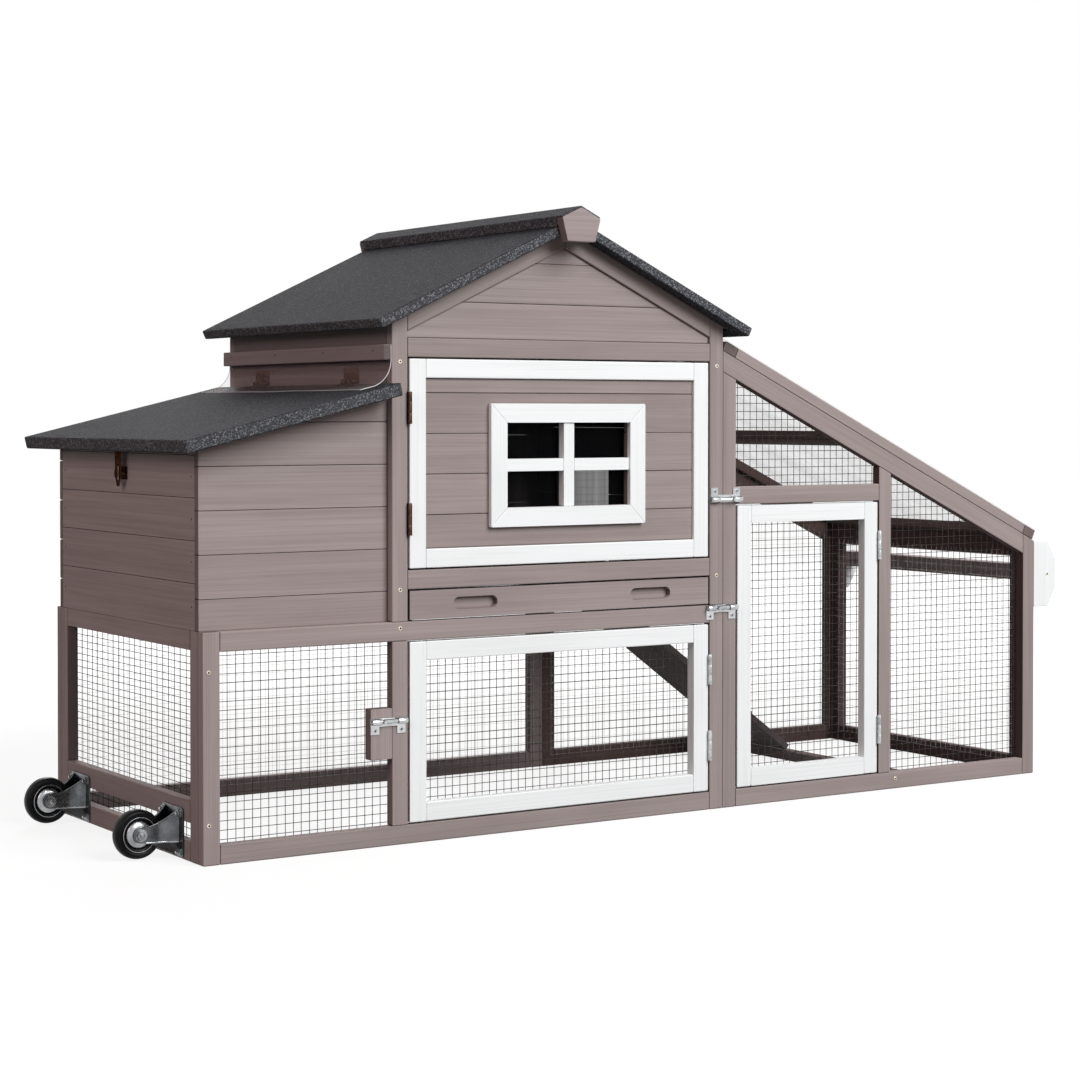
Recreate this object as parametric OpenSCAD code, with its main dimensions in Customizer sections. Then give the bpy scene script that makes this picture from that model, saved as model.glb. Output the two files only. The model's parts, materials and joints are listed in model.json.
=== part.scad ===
// Movable poultry house with nest box, wire run, castors and carrying handle.
// Working frame: X along the length from the left end, Y from the front face to the back, Z up
// from the ground. Everything is then centred over the origin by centred().

/* [Overall] */
// Length of the timber body, left end to right end
body_len = 1700; // [1550:10:1900]
// Depth of the timber body, front face to back face
body_depth = 580; // [520:10:680]
// Height of the lower frame that the house and nest box stand on
lower_h = 348; // [320:2:400]

/* [Timber] */
// Face width of posts and stiles
post_w = 28; // [22:1:36]
// Face height of rails
rail_h = 30; // [24:1:38]
// Thickness of frame members
frame_t = 18; // [15:1:22]
// Thickness of wall boards
board_t = 12; // [8:0.5:12.5]
// Usual height of one wall board
board_h = 66; // [50:1:90]
// Shadow gap between neighbouring boards
board_gap = 0.6; // [0.4:0.1:1.5]
// Setback of infill boards behind the face of the frame
board_set = 5; // [3:0.5:5.5]
// Hairline gap at butt joints between members
joint_gap = 0.2; // [0.1:0.05:0.3]

/* [House] */
// Distance of the house from the left end
house_x = 322; // [280:2:360]
// Width of the house along X
house_w = 646; // [600:2:680]
// Height of the house posts at their outer edge
house_wall_h = 474; // [440:2:520]
// Height of the tray bay under the door sill
tray_bay_h = 50; // [44:1:60]
// Height of the inner sills above the tray bay
sill_lip = 2; // [1:0.5:6]
// Pitch of the house roof in degrees
roof_pitch = 25.3; // [20:0.1:30]
// Roof overhang past the house posts
eave_reach = 40; // [30:1:46]
// Roof overhang past the front and back faces
end_reach = 30; // [20:1:40]
// Thickness of the roof deck
deck_t = 10.5; // [8:0.5:14]
// Thickness of the roofing felt
felt_t = 3; // [2:0.5:4]
// Width of the felt folded under the roof's overhang
felt_fold = 26; // [16:1:29]
// Face width of the raking rails under the roof
rake_w = 30; // [24:1:36]
// Space between the gable rail and the raking rails at the posts
gable_gap = 11; // [6:1:20]
// Half width of the ridge cap
cap_half = 38; // [28:1:50]
// Thickness of the ridge cap
cap_t = 16; // [8:0.5:20]
// Thickness of the ridge end blocks
ridge_end_t = 18; // [12:1:24]
// Height of the ridge end blocks
ridge_end_h = 55; // [45:1:65]
// Width of the ridge end blocks at their foot
ridge_end_foot = 54; // [40:1:60]
// Diameter of the perches
perch_d = 28; // [20:1:30]
// Distance between the two perches
perch_pitch = 220; // [160:5:280]

/* [Nest box] */
// Setback of the nest walls from the front and back faces
nest_inset = 15; // [10:1:20]
// Height of the lid's house end above the lower frame
nest_h = 372; // [330:2:390]
// Height of the lowest board on the nest's long walls
nest_first_board = 48; // [30:1:64]
// Height of the first board on the nest's end wall
nest_end_first = 71; // [50:1:80]
// Height of the other boards on the nest's end wall
nest_end_board = 64; // [50:1:80]
// Thickness of the nest floor
nest_floor_t = 12; // [8:1:16]
// Height of the divider inside the nest
divider_h = 200; // [120:5:230]
// Pitch of the lid in degrees
lid_pitch = 13.5; // [10:0.5:16]
// Thickness of the lid board
lid_board_t = 17; // [12:0.5:20]
// Lid overhang past the nest's front, back and left side
lid_reach = 36; // [26:1:42]
// Overhang of the nest lid past the nest's end wall
lid_nose = 44; // [36:1:50]
// Height of the batten that holds the rain flap
batten_h = 24; // [16:1:32]
// Thickness of the flap batten
batten_t = 12; // [8:1:16]
// Height of the batten above the lid's house end
batten_rise = 36; // [32:1:48]
// Thickness of the rain flap
flap_t = 1; // [0.6:0.1:1.5]
// Length of the flap's tail on the lid
flap_tail = 22; // [10:1:40]

/* [Doors and window] */
// Gap beside a door, where the hinge leaves lie
door_gap = 3.5; // [3:0.1:5]
// Gap above and below a door
door_gap_z = 2.5; // [1.5:0.1:4]
// Face width of the door frames
door_rail = 30; // [24:1:38]
// Thickness of the house door's planks
plank_t = 10; // [6:0.5:10.5]
// Usual height of one door plank
plank_h = 64; // [50:1:80]
// Width of the window over its trim
window_w = 302; // [240:2:360]
// Height of the window over its trim
window_h = 198; // [160:2:220]
// Face width of the window trim
window_trim_w = 31; // [22:1:38]
// How far the window trim stands in front of the planks
window_trim_t = 9; // [6:0.5:12]
// Width of the window's cross bars
window_bar = 20; // [14:1:24]
// Thickness of the window pane
pane_t = 2; // [1.5:0.1:2.5]

/* [Hinges] */
// Length of a butt hinge
hinge_len = 50; // [44:1:60]
// Distance from a door's end to the middle of its hinge
hinge_inset = 77; // [60:1:90]
// Radius of a hinge knuckle
knuckle_r = 3.5; // [3.2:0.1:4]
// Radius of a hinge pin
pin_r = 1.5; // [1.2:0.05:1.6]
// Running clearance round a pin, bolt or axle
run_clear = 0.05; // [0.03:0.01:0.1]
// Thickness of a hinge leaf
leaf_t = 1.2; // [1:0.05:1.35]
// Reach of a hinge leaf from its pin
leaf_reach = 19; // [15:0.5:20]

/* [Bolts] */
// Length of a bolt plate
bolt_plate_l = 62; // [56:1:72]
// Height of a bolt plate, with its ears
bolt_plate_h = 25; // [22:1:30]
// Thickness of a bolt plate
bolt_plate_t = 1.5; // [1:0.1:2]
// Radius of a sliding bolt
bolt_r = 3.5; // [2.5:0.1:4]
// Outer radius of a bolt's barrel
barrel_r = 5; // [4.8:0.1:6]
// Length of the opening between the barrels, where the knob slides
bolt_window = 30; // [28:1:34]
// Radius of the bolt's knob stem
knob_r = 2.8; // [2:0.1:3.2]
// Height of the lower door's bolt above the ground
lower_bolt_z = 195; // [120:1:240]
// Width of the block that carries the lower door's bolt
latch_block_w = 38; // [32:1:50]
// Height of the block that carries the lower door's bolt
latch_block_h = 80; // [60:1:100]
// Width of the hasp strap
hasp_w = 24; // [18:1:28]
// Length of the hasp strap
hasp_len = 60; // [54:1:66]

/* [Run] */
// Clear width of the run's door bay
run_bay_w = 322; // [280:2:360]
// Height of the rail over the run door above the lower frame
run_rail_rise = 170; // [130:2:190]
// Height of the run roof above the lower frame, where it meets the house
run_top_rise = 452; // [432:2:457]
// Pitch of the run roof in degrees
run_pitch = 25.2; // [23:0.1:26]
// Depth of the sloping rail, square to the slope
slope_rail_w = 32.5; // [26:0.5:36]
// Overhang of the run roof past the right end
run_reach = 3; // [1:0.5:10]
// Place of the roof's middle purlin along the slope
purlin_u = 385; // [240:5:400]
// Width of the tie across the floor of the run
tie_w = 24; // [18:1:30]
// Height of the tie across the floor of the run
tie_h = 19; // [14:0.5:19.5]
// Thickness of the roof sheet
sheet_t = 1.5; // [1:0.1:2.5]
// Height of the end frame's middle rail above the ground
end_mid_z = 58; // [50:1:80]
// Face height of the end frame's middle rail
end_mid_h = 34; // [28:1:40]

/* [Tray] */
// Height of the tray front
tray_front_h = 45; // [38:0.5:46]
// Height of the pan's wall
pan_h = 42; // [30:1:44]
// Thickness of the pan's sheet
pan_t = 1.5; // [1:0.1:2]
// Width of the runners under the pan
runner_w = 36; // [28:1:44]
// Thickness of the runners under the pan
runner_t = 14; // [10:1:18]
// Length of a finger slot
slot_w = 82; // [70:1:100]
// Height of a finger slot
slot_h = 20; // [16:1:24]
// Depth of a finger slot
slot_d = 10; // [6:0.5:12]
// Distance between the finger slots
slot_pitch = 342; // [280:2:380]

/* [Ramp] */
// Distance of the ramp from the back face
ramp_inset = 50; // [26:1:60]
// Width of the ramp
ramp_w = 155; // [140:1:180]
// Thickness of the ramp board
ramp_t = 12; // [9:0.5:14]
// Slope of the ramp in degrees
ramp_pitch = 36.4; // [34:0.1:40]
// Width of the pop hole
pop_w = 170; // [150:2:190]
// Distance of the pop hole from the back face
pop_inset = 85; // [70:1:120]
// Height of the pop hole
pop_h = 190; // [160:2:220]
// Distance between the ramp's cleats
cleat_pitch = 85; // [70:1:110]
// Width of a cleat
cleat_w = 18; // [12:1:24]
// Thickness of a cleat
cleat_t = 6; // [5:0.5:12]

/* [Castors] */
// Diameter of a castor wheel
wheel_d = 75; // [65:1:80]
// Width of a castor tyre
tyre_w = 22; // [18:1:26]
// Radius of the hub inside the tyre
hub_r = 27; // [24:0.5:29]
// Clearance of the wheels above the ground
wheel_clear = 1.5; // [1:0.5:6]
// Distance of the castors from the front and back faces
castor_inset = 106; // [90:2:140]
// Width of a castor plate
castor_plate_w = 78; // [66:1:84]
// Height of a castor plate
castor_plate_h = 76; // [72:1:80]
// Thickness of the castor's sheet steel
fork_t = 2.5; // [2:0.1:3]
// Radius of a castor axle
axle_r = 5; // [4:0.1:6]
// Space between a wheel and its plate
wheel_space = 20; // [16:1:26]

/* [Handle] */
// Reach of the handle plates past the right end
handle_reach = 55; // [48:1:70]
// Height of the handle plates
handle_h = 122; // [100:1:140]
// Thickness of the handle plates
handle_t = 12; // [10:0.5:16]
// Hand space between the right end and the handle bar
handle_space = 20; // [18:1:30]
// Width of the handle bar
handle_bar_w = 26; // [20:1:28]

/* [Wire net] */
// Spacing of the net's wires in this coarse form
net_pitch = 50; // [45:1:90]
// Width of a net wire
net_bar = 2.5; // [2:0.1:4]
// Thickness of a net wire
net_t = 1; // [0.8:0.1:1.6]
// Lap of the net behind the frame members
net_lap = 10; // [6:0.5:10]

/* [Hidden] */
$fn = 48;

// Colours of the finishes
taupe = "#9C8F8C";
white = "#EFEFED";
felt_grey = "#45474B";
zinc = "#B4B6B8";
bronze = "#4A3A30";
rubber = "#1D1D1E";
wire = "#4B4748";
clear_sheet = "#DDE3E6";

// Small clearances
g = joint_gap;
face_gap = 0.1;
move_gap = 0.3;
cut = 1;

// Main planes
front_y = [0, frame_t];
inner_y = [frame_t, body_depth - frame_t];
mid_y = body_depth / 2;
house_x1 = house_x + house_w;
house_mid = house_x + house_w / 2;
bay_x = [house_x + post_w, house_x1 - post_w];
run_x = house_x1;
run_mid_x = run_x + post_w + run_bay_w;
run_rail_z = lower_h + run_rail_rise;
run_top_z = lower_h + run_top_rise;
infill_y = [board_set, board_set + board_t];

// House heights
sill_z = lower_h + tray_bay_h;
sill_top = sill_z + rail_h;
inner_sill_z = sill_z + sill_lip;
function roof_under(x) = lower_h + house_wall_h + (house_w / 2 - abs(x - house_mid)) * tan(roof_pitch);
roof_v = (deck_t + felt_t) / cos(roof_pitch);
function roof_top(x) = roof_under(x) + roof_v;
ridge_z = roof_top(house_mid);
rake_v = rake_w / cos(roof_pitch);
gable_top = roof_under(bay_x[0]) - rake_v - gable_gap;
gable_z = gable_top - rail_h;

// Nest lid: its top line meets lid_end at the house
lid_t = lid_board_t + felt_t;
lid_end_x = house_x - lid_t * sin(lid_pitch) - 0.5;
lid_end_z = lower_h + nest_h;
lid_len = (lid_end_x + lid_nose) / cos(lid_pitch);
function lid_top(x) = lid_end_z - (lid_end_x - x) * tan(lid_pitch);
function lid_under(x) = lid_top(x) - lid_t / cos(lid_pitch);
pin_lift = knuckle_r + 0.4;
wall_pin = knuckle_r + move_gap;
lid_pin_x = house_x - wall_pin;
lid_pin_z = lid_top(lid_pin_x) + pin_lift / cos(lid_pitch);
left_wall_z = lid_under(house_x) - 10;
batten_z = lid_end_z + batten_rise;

// Run roof: its top line starts at the house wall
function run_top(x) = run_top_z - (x - run_x) * tan(run_pitch);
function run_cap(x) = run_top(x) - frame_t / cos(run_pitch) - g;
function run_rail_under(x) = run_cap(x) - slope_rail_w / cos(run_pitch);
run_u0 = frame_t * tan(run_pitch) + move_gap;
run_u1 = (body_len + run_reach - run_x) / cos(run_pitch);
end_top = run_cap(body_len);
end_rail_z = end_top - rail_h;

// Door outlines: [x0, x1], [z0, z1]
door_x = [bay_x[0] + door_gap, bay_x[1] - door_gap];
house_door_z = [sill_top + door_gap_z, gable_z - door_gap_z];
lower_door_z = [rail_h + door_gap_z, lower_h - rail_h - door_gap_z];
run_door_x = [run_x + post_w + door_gap, run_mid_x - door_gap];
run_door_z = [rail_h + door_gap_z, run_rail_z - door_gap_z];
pin_y = -knuckle_r - move_gap;
hinge_step = hinge_len / 3;
fixed_spans = [[0, hinge_step - move_gap], [2 * hinge_step + move_gap, hinge_len]];
swing_spans = [[hinge_step, 2 * hinge_step]];
function hinge_feet(z) = [z[0] + hinge_inset - hinge_len / 2, z[1] - hinge_inset - hinge_len / 2];
lid_hinge_y = [castor_inset, body_depth - castor_inset - hinge_len];

// Window, centred on the house door
plank_x = [door_x[0] + door_rail + g, door_x[1] - door_rail - g];
plank_z = [house_door_z[0] + door_rail + g, house_door_z[1] - door_rail - g];
plank_y = [board_set, board_set + plank_t];
window_mid = [(door_x[0] + door_x[1]) / 2 + 7, (house_door_z[0] + house_door_z[1]) / 2 - 4.5];
window_hole = [window_w - 2 * window_trim_w, window_h - 2 * window_trim_w];
trim_y = [board_set - window_trim_t, board_set];

// Bolts: middle of each plate at the height of its barrel
house_bolt_at = [bay_x[1] + bolt_plate_l / 2 + 1.5, run_rail_z + 9];
run_bolt_at = [run_x + post_w - 2 - bolt_plate_l / 2, lower_h - barrel_r];
lower_bolt_at = [bay_x[0] - 5 - bolt_plate_l / 2, lower_bolt_z];
bolt_y = bolt_plate_t + barrel_r - 1;
bolt_tip = bolt_plate_l / 2 + 0.5;

// Hasp: strap hinged under the lid, outside the nest's end wall
hasp_x = -11;
hasp_pin_r = 1.2;
hasp_knuckle_r = 2.5;
hasp_lift = hasp_knuckle_r + 0.4;
hasp_z = lid_under(hasp_x) - hasp_lift / cos(lid_pitch);
hasp_slot = [7, 22];
hasp_slot_end = 10;
hasp_tip = 16;
staple_z = hasp_z - hasp_len + hasp_slot_end + hasp_slot[1] / 2;
staple_r = 2.5;
staple_reach = 8;

// Ramp: hinged on the house's right wall under the pop hole
ramp_y = body_depth - ramp_inset - ramp_w;
ramp_pin_x = house_x1 + wall_pin;
ramp_pin_z = inner_sill_z - 36;
ramp_drop = pin_lift + ramp_t;
ramp_u0 = 9;
ramp_foot = tie_h + 0.5;
ramp_u1 = (ramp_pin_z - ramp_foot - ramp_drop * cos(ramp_pitch)) / sin(ramp_pitch);
ramp_hinge_y = [ramp_y + 15, ramp_y + ramp_w - 15 - hinge_len];
foot_x = ramp_pin_x + ramp_u1 * cos(ramp_pitch) - ramp_drop * sin(ramp_pitch);
pop_y = [body_depth - pop_inset - pop_w, body_depth - pop_inset];
pop_rows = 3;

// Castors
axle_x = -(wheel_d / 2 + wheel_space + fork_t);
axle_z = wheel_d / 2 + wheel_clear;
castor_y = [castor_inset, body_depth - castor_inset];
castor_plate_z = 2;
arm_in = tyre_w / 2 + 3;
boss_w = 2 * arm_in - 1;
axle_head = 3;

// Handle, level with the top of the run's end
handle_z = [end_top - handle_h - 2, end_top - 2];
handle_clip = [20, 34];
handle_bar_x = [body_len + handle_space, body_len + handle_space + handle_bar_w];
handle_mid_z = (handle_z[0] + handle_z[1]) / 2;

// Middle of the whole outline, from the castors to the handle plates
mid_x = (axle_x - wheel_d / 2 + body_len + handle_reach) / 2;

// Shared shapes
module centred() translate([-mid_x, -mid_y, 0]) children();
module bar(x, y, z) translate([x[0], y[0], z[0]]) cube([x[1] - x[0], y[1] - y[0], z[1] - z[0]]);
module slab_y(y) translate([0, y[1], 0]) rotate([90, 0, 0]) linear_extrude(y[1] - y[0]) children();
module slab_x(x) translate([x[0], 0, 0]) rotate([90, 0, 90]) linear_extrude(x[1] - x[0]) children();
module to_back() translate([0, body_depth, 0]) mirror([0, 1, 0]) children();
module both_sides() {
    children();
    to_back() children();
}

// A square-cornered frame of two stiles and two rails, flat in XZ
module door_frame(x, z) {
    for (s = [x[0], x[1] - door_rail])
        bar([s, s + door_rail], front_y, z);
    for (r = [z[0], z[1] - door_rail])
        bar([x[0] + door_rail + g, x[1] - door_rail - g], front_y, [r, r + door_rail]);
}

// Rows of boards that fill a height, as rectangles; the first row may have its own height
function row_edges(z, first, pitch) =
    concat([z[0]], [for (e = [z[0] + first:pitch:z[1] - 8]) e], [z[1]]);
function even_rows(z) = row_edges(z, (z[1] - z[0]) / max(1, round((z[1] - z[0]) / board_h)),
    (z[1] - z[0]) / max(1, round((z[1] - z[0]) / board_h)));
module row(x, edges, i)
    translate([x[0], edges[i]])
        square([x[1] - x[0], edges[i + 1] - edges[i] - (i < len(edges) - 2 ? board_gap : 0)]);
module boards_x(x, y, edges)
    for (i = [0:len(edges) - 2]) slab_x(x) row(y, edges, i);
module boards_y(x, y, edges)
    for (i = [0:len(edges) - 2]) slab_y(y) row(x, edges, i);

// Coarse welded net, drawn flat under a level or sloping top edge: its level wires lie in one layer
// against the frame, its upright wires in the next
function net_fall(x, top) = (top[1] - top[0]) / (x[1] - x[0]);
function net_edge(x, top, a) = top[0] + (a - x[0]) * net_fall(x, top);
module net_uprights(x, z, top) {
    n = max(1, round((x[1] - x[0]) / net_pitch));
    for (i = [0:n]) {
        a = x[0] + i * (x[1] - x[0] - net_bar) / n;
        b = a + net_bar;
        polygon([[a, z], [b, z], [b, net_edge(x, top, b)], [a, net_edge(x, top, a)]]);
    }
}
module net_levels(x, z, top) {
    high = max(top) - z;
    n = max(1, round(high / net_pitch));
    fall = net_fall(x, top);
    v = net_bar * sqrt(1 + fall * fall);
    for (i = [0:n - 1]) {
        a = z + i * (high - net_bar) / n;
        end = fall == 0 ? x[1] : min(x[1], x[0] + (a + net_bar + v + g - top[0]) / fall);
        if (end > x[0] + 2 * net_bar)
            translate([x[0], a]) square([end - x[0], net_bar]);
    }
    polygon([[x[0], top[0] - v], [x[1], top[1] - v], [x[1], top[1]], [x[0], top[0]]]);
}
net_levels_y = [frame_t + face_gap, frame_t + face_gap + net_t];
net_uprights_y = [net_levels_y[1] + face_gap, net_levels_y[1] + face_gap + net_t];
module net_y(x, z, top) {
    slab_y(net_levels_y) net_levels(x, z, top);
    slab_y(net_uprights_y) net_uprights(x, z, top);
}
module net_x(y, z, top) {
    slab_x(net_levels_y) net_levels(y, z, top);
    slab_x(net_uprights_y) net_uprights(y, z, top);
}

// Half of a butt hinge: pin along Z from 0, leaf towards +Y at a distance along X
module hinge_half(spans, offset, reach, width = hinge_len, barrel = knuckle_r, pin = pin_r) {
    difference() {
        union() {
            for (s = spans) {
                translate([0, 0, s[0]]) cylinder(r = barrel, h = s[1] - s[0]);
                bar([offset, offset + leaf_t], [0, barrel + move_gap], s);
            }
            bar([offset, offset + leaf_t], [barrel + move_gap, reach], [0, width]);
        }
        translate([0, 0, -cut]) cylinder(r = pin + run_clear, h = width + 2 * cut);
    }
}
module hinge_pin(width = hinge_len, pin = pin_r) {
    cylinder(r = pin, h = width);
    translate([0, 0, width]) cylinder(r = pin + 1, h = 1.5);
}

// Places of the hinge pins, with the pin along +Z, or along -Y for level pins
module at_door_hinges(x, z) for (foot = hinge_feet(z)) translate([x, pin_y, foot]) children();
module level_pin(x, y, z) translate([x, y, z]) rotate([90, 0, 0]) children();
module at_lid_hinges() for (y = lid_hinge_y) level_pin(lid_pin_x, y + hinge_len, lid_pin_z) children();
module at_ramp_hinges() for (y = ramp_hinge_y) level_pin(ramp_pin_x, y + hinge_len, ramp_pin_z) children();
module at_hasp() level_pin(hasp_x, mid_y + hasp_w / 2, hasp_z) children();
house_pin_x = bay_x[0] + door_gap / 2;
lower_pin_x = bay_x[1] - door_gap / 2;
run_pin_x = run_mid_x - door_gap / 2;

// Barrel bolt lying along +X with its ears down, in front of the plane Y = 0
module bolt_plate() {
    l = bolt_plate_l / 2;
    ear = 15;
    strip = [-barrel_r - 3, barrel_r];
    difference() {
        union() {
            bar([-l, l], [-bolt_plate_t, 0], strip);
            for (s = [-l, l - ear])
                bar([s, s + ear], [-bolt_plate_t, 0], [barrel_r - bolt_plate_h, strip[0]]);
            for (s = [[-l, -bolt_window / 2], [bolt_window / 2, l]])
                translate([s[0], -bolt_y, 0]) rotate([0, 90, 0]) cylinder(r = barrel_r, h = s[1] - s[0]);
        }
        translate([-l - cut, -bolt_y, 0]) rotate([0, 90, 0])
            cylinder(r = bolt_r + run_clear, h = bolt_plate_l + 2 * cut);
    }
}
module sliding_bolt() {
    translate([-bolt_plate_l / 2 + 2, -bolt_y, 0]) rotate([0, 90, 0])
        cylinder(r = bolt_r, h = bolt_tip + bolt_plate_l / 2 - 2);
    translate([-bolt_window / 2 + knob_r + 1, -bolt_y, 0]) rotate([90, 0, 0])
        cylinder(r = knob_r, h = barrel_r + 4);
}
module at_bolt(p, turn) translate([p[0], 0, p[1]]) rotate([0, turn, 0]) children();

// Lower frame
module lower_side() {
    for (x = [0, house_x1 - post_w])
        bar([x, x + post_w], front_y, [0, lower_h]);
    for (z = [0, lower_h - rail_h])
        bar([post_w + g, house_x1 - post_w - g], front_y, [z, z + rail_h]);
}
module lower_side_frames() color(taupe) {
    both_sides() lower_side();
    bar([house_x, bay_x[0]], front_y, [rail_h + g, lower_h - rail_h - g]);
    bar([house_x - latch_block_w - g, house_x - g], front_y,
        [lower_bolt_z + 20 - latch_block_h, lower_bolt_z + 20]);
}
end_y = [inner_y[0] + g, inner_y[1] - g];
module lower_end_frame() color(taupe) {
    for (y = [end_y[0], end_y[1] - post_w])
        bar([0, frame_t], [y, y + post_w], [0, lower_h]);
    for (z = [[0, rail_h], [end_mid_z, end_mid_z + end_mid_h], [lower_h - rail_h, lower_h]])
        bar([0, frame_t], [end_y[0] + post_w + g, end_y[1] - post_w - g], z);
}
module floor_bearers() color(taupe) {
    for (x = [house_x + board_t, house_x1 - frame_t - runner_w - g])
        bar([x, x + runner_w], inner_y, [lower_h - runner_t, lower_h]);
    bar([house_x1 - frame_t, house_x1], inner_y, [lower_h - rail_h, lower_h]);
}

// House
module house_post(x)
    slab_y(front_y)
        polygon([[x, lower_h], [x + post_w, lower_h], [x + post_w, roof_under(x + post_w) - g],
            [x, roof_under(x) - g]]);
module house_posts() color(taupe)
    both_sides() for (x = [house_x, bay_x[1]]) house_post(x);
module level_rail(z) bar([bay_x[0] + g, bay_x[1] - g], front_y, [z, z + rail_h]);
module raking_rail(side) {
    a = house_mid + side * g;
    b = house_mid + side * (house_w / 2 - post_w - g);
    slab_y(front_y)
        polygon([[a, roof_under(a) - g], [b, roof_under(b) - g], [b, roof_under(b) - rake_v],
            [a, roof_under(a) - rake_v]]);
}
module house_rails() color(taupe) {
    level_rail(sill_z);
    to_back() level_rail(lower_h);
    both_sides() {
        level_rail(gable_z);
        for (side = [-1, 1]) raking_rail(side);
    }
}
// Triangle of the gable inside its rails
module gable_outline() {
    b = house_w / 2 - post_w - g;
    polygon([[house_mid - b, gable_top + g], [house_mid + b, gable_top + g],
        [house_mid + b, roof_under(house_mid + b) - rake_v - g],
        [house_mid, roof_under(house_mid) - rake_v - g],
        [house_mid - b, roof_under(house_mid + b) - rake_v - g]]);
}
module gable_boards() color(taupe)
    both_sides() {
        edges = row_edges([gable_top + g, roof_under(house_mid) - rake_v], 58, board_h);
        for (i = [0:len(edges) - 2])
            slab_y(infill_y) intersection() {
                gable_outline();
                row(bay_x, edges, i);
            }
    }
module house_back_boards() color(taupe)
    to_back()
        boards_y([bay_x[0] + g, bay_x[1] - g], infill_y, even_rows([lower_h + rail_h + g, gable_z - g]));
module house_side_boards() color(taupe) {
    top = roof_under(house_x) - g;
    left = [house_x, house_x + board_t];
    right = [house_x1 - board_t, house_x1];
    pop_top = inner_sill_z + pop_h;
    pop_row = pop_h / pop_rows;
    boards_x(left, end_y, even_rows([left_wall_z, top]));
    bar(left, end_y, [lower_h, inner_sill_z]);
    bar(right, end_y, [lower_h, inner_sill_z - board_gap]);
    for (y = [[end_y[0], pop_y[0]], [pop_y[1], end_y[1]]])
        boards_x(right, y, row_edges([inner_sill_z, pop_top - board_gap], pop_row, pop_row));
    boards_x(right, end_y, even_rows([pop_top, top]));
}
module perches() color(taupe)
    for (side = [-1, 1])
        translate([house_mid + side * perch_pitch / 2, inner_y[0], sill_z + rail_h / 2]) rotate([-90, 0, 0])
            cylinder(d = perch_d, h = body_depth - infill_y[1] - inner_y[0]);

// House roof: outline of one slope between two depths under its top line, cut square at the eave
function slope_outline(lo, hi, inset) = [
    [house_mid + g / 2, roof_top(house_mid + g / 2) - hi / cos(roof_pitch)],
    [house_mid + eave_run(inset) - hi * sin(roof_pitch), eave_rise(inset) - hi * cos(roof_pitch)],
    [house_mid + eave_run(inset) - lo * sin(roof_pitch), eave_rise(inset) - lo * cos(roof_pitch)],
    [house_mid + g / 2, roof_top(house_mid + g / 2) - lo / cos(roof_pitch)]
];
function eave_run(inset) = house_w / 2 + eave_reach - inset * cos(roof_pitch);
function eave_rise(inset) = ridge_z - eave_run(inset) * tan(roof_pitch);
roof_y = [-end_reach, body_depth + end_reach];
module both_slopes() {
    children();
    translate([2 * house_mid, 0, 0]) mirror([1, 0, 0]) children();
}
module deck()
    slab_y([roof_y[0] + felt_t, roof_y[1] - felt_t])
        polygon(slope_outline(deck_t + felt_t, felt_t, felt_t));
module roof_decks() color(taupe) both_slopes() deck();
module roof_felt() color(felt_grey)
    both_slopes() difference() {
        slab_y(roof_y) polygon(slope_outline(deck_t + 2 * felt_t, 0, 0));
        slab_y([roof_y[0] + felt_t, roof_y[1] - felt_t])
            polygon(slope_outline(deck_t + felt_t, felt_t, felt_t));
        slab_y([roof_y[0] + felt_fold, roof_y[1] - felt_fold])
            polygon(slope_outline(deck_t + 2 * felt_t + cut, deck_t, felt_fold));
    }
module ridge_cap() color(felt_grey) {
    v = cap_t / cos(roof_pitch);
    x = [house_mid - cap_half, house_mid + cap_half];
    slab_y(roof_y)
        polygon([[x[0], roof_top(x[0])], [house_mid, ridge_z], [x[1], roof_top(x[1])],
            [x[1], roof_top(x[1]) + v], [house_mid, ridge_z + v], [x[0], roof_top(x[0]) + v]]);
    lap = ridge_end_t - 2;
    slab_y([roof_y[0] - lap, roof_y[1] + lap])
        polygon([[x[0], roof_top(x[0]) + v - felt_t], [house_mid, ridge_z + v - felt_t],
            [x[1], roof_top(x[1]) + v - felt_t], [x[1], roof_top(x[1]) + v], [house_mid, ridge_z + v],
            [x[0], roof_top(x[0]) + v]]);
}
module ridge_end() {
    top = ridge_z + cap_t / cos(roof_pitch) - felt_t - face_gap;
    wide = cap_half - 1;
    foot = ridge_end_foot / 2;
    slab_y([roof_y[0] - ridge_end_t, roof_y[0]])
        polygon([[house_mid - foot, top - ridge_end_h], [house_mid + foot, top - ridge_end_h],
            [house_mid + wide, top - wide * tan(roof_pitch)], [house_mid, top],
            [house_mid - wide, top - wide * tan(roof_pitch)]]);
}
module ridge_ends() color(taupe) both_sides() ridge_end();

// Nest box
module nest_wall_boards() color(taupe) {
    x = [0, house_x - g];
    edges = row_edges([lower_h, lid_under(house_x)], nest_first_board, board_h);
    both_sides()
        for (i = [0:len(edges) - 2])
            slab_y([nest_inset, nest_inset + board_t]) intersection() {
                row(x, edges, i);
                polygon([[0, lower_h], [house_x, lower_h], [house_x, lid_under(house_x) - g],
                    [0, lid_under(0) - g]]);
            }
    inset = nest_inset + board_t + g;
    boards_x([0, board_t], [inset, body_depth - inset],
        row_edges([lower_h, lid_under(0) - g], nest_end_first, nest_end_board));
}
module nest_inner_boards() color(taupe) {
    bar([frame_t, house_x + board_t - g], inner_y, [lower_h - nest_floor_t, lower_h - face_gap]);
    bar([board_t + g, house_x - g], [mid_y - board_t / 2, mid_y + board_t / 2],
        [lower_h, lower_h + divider_h]);
}
module on_lid() translate([lid_end_x, 0, lid_end_z]) rotate([0, -lid_pitch, 0]) children();
lid_y = [-lid_reach, body_depth + lid_reach];
module nest_lid() color(taupe)
    on_lid() bar([felt_t - lid_len, 0], [lid_y[0] + felt_t, lid_y[1] - felt_t], [-lid_t, -felt_t]);
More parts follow.
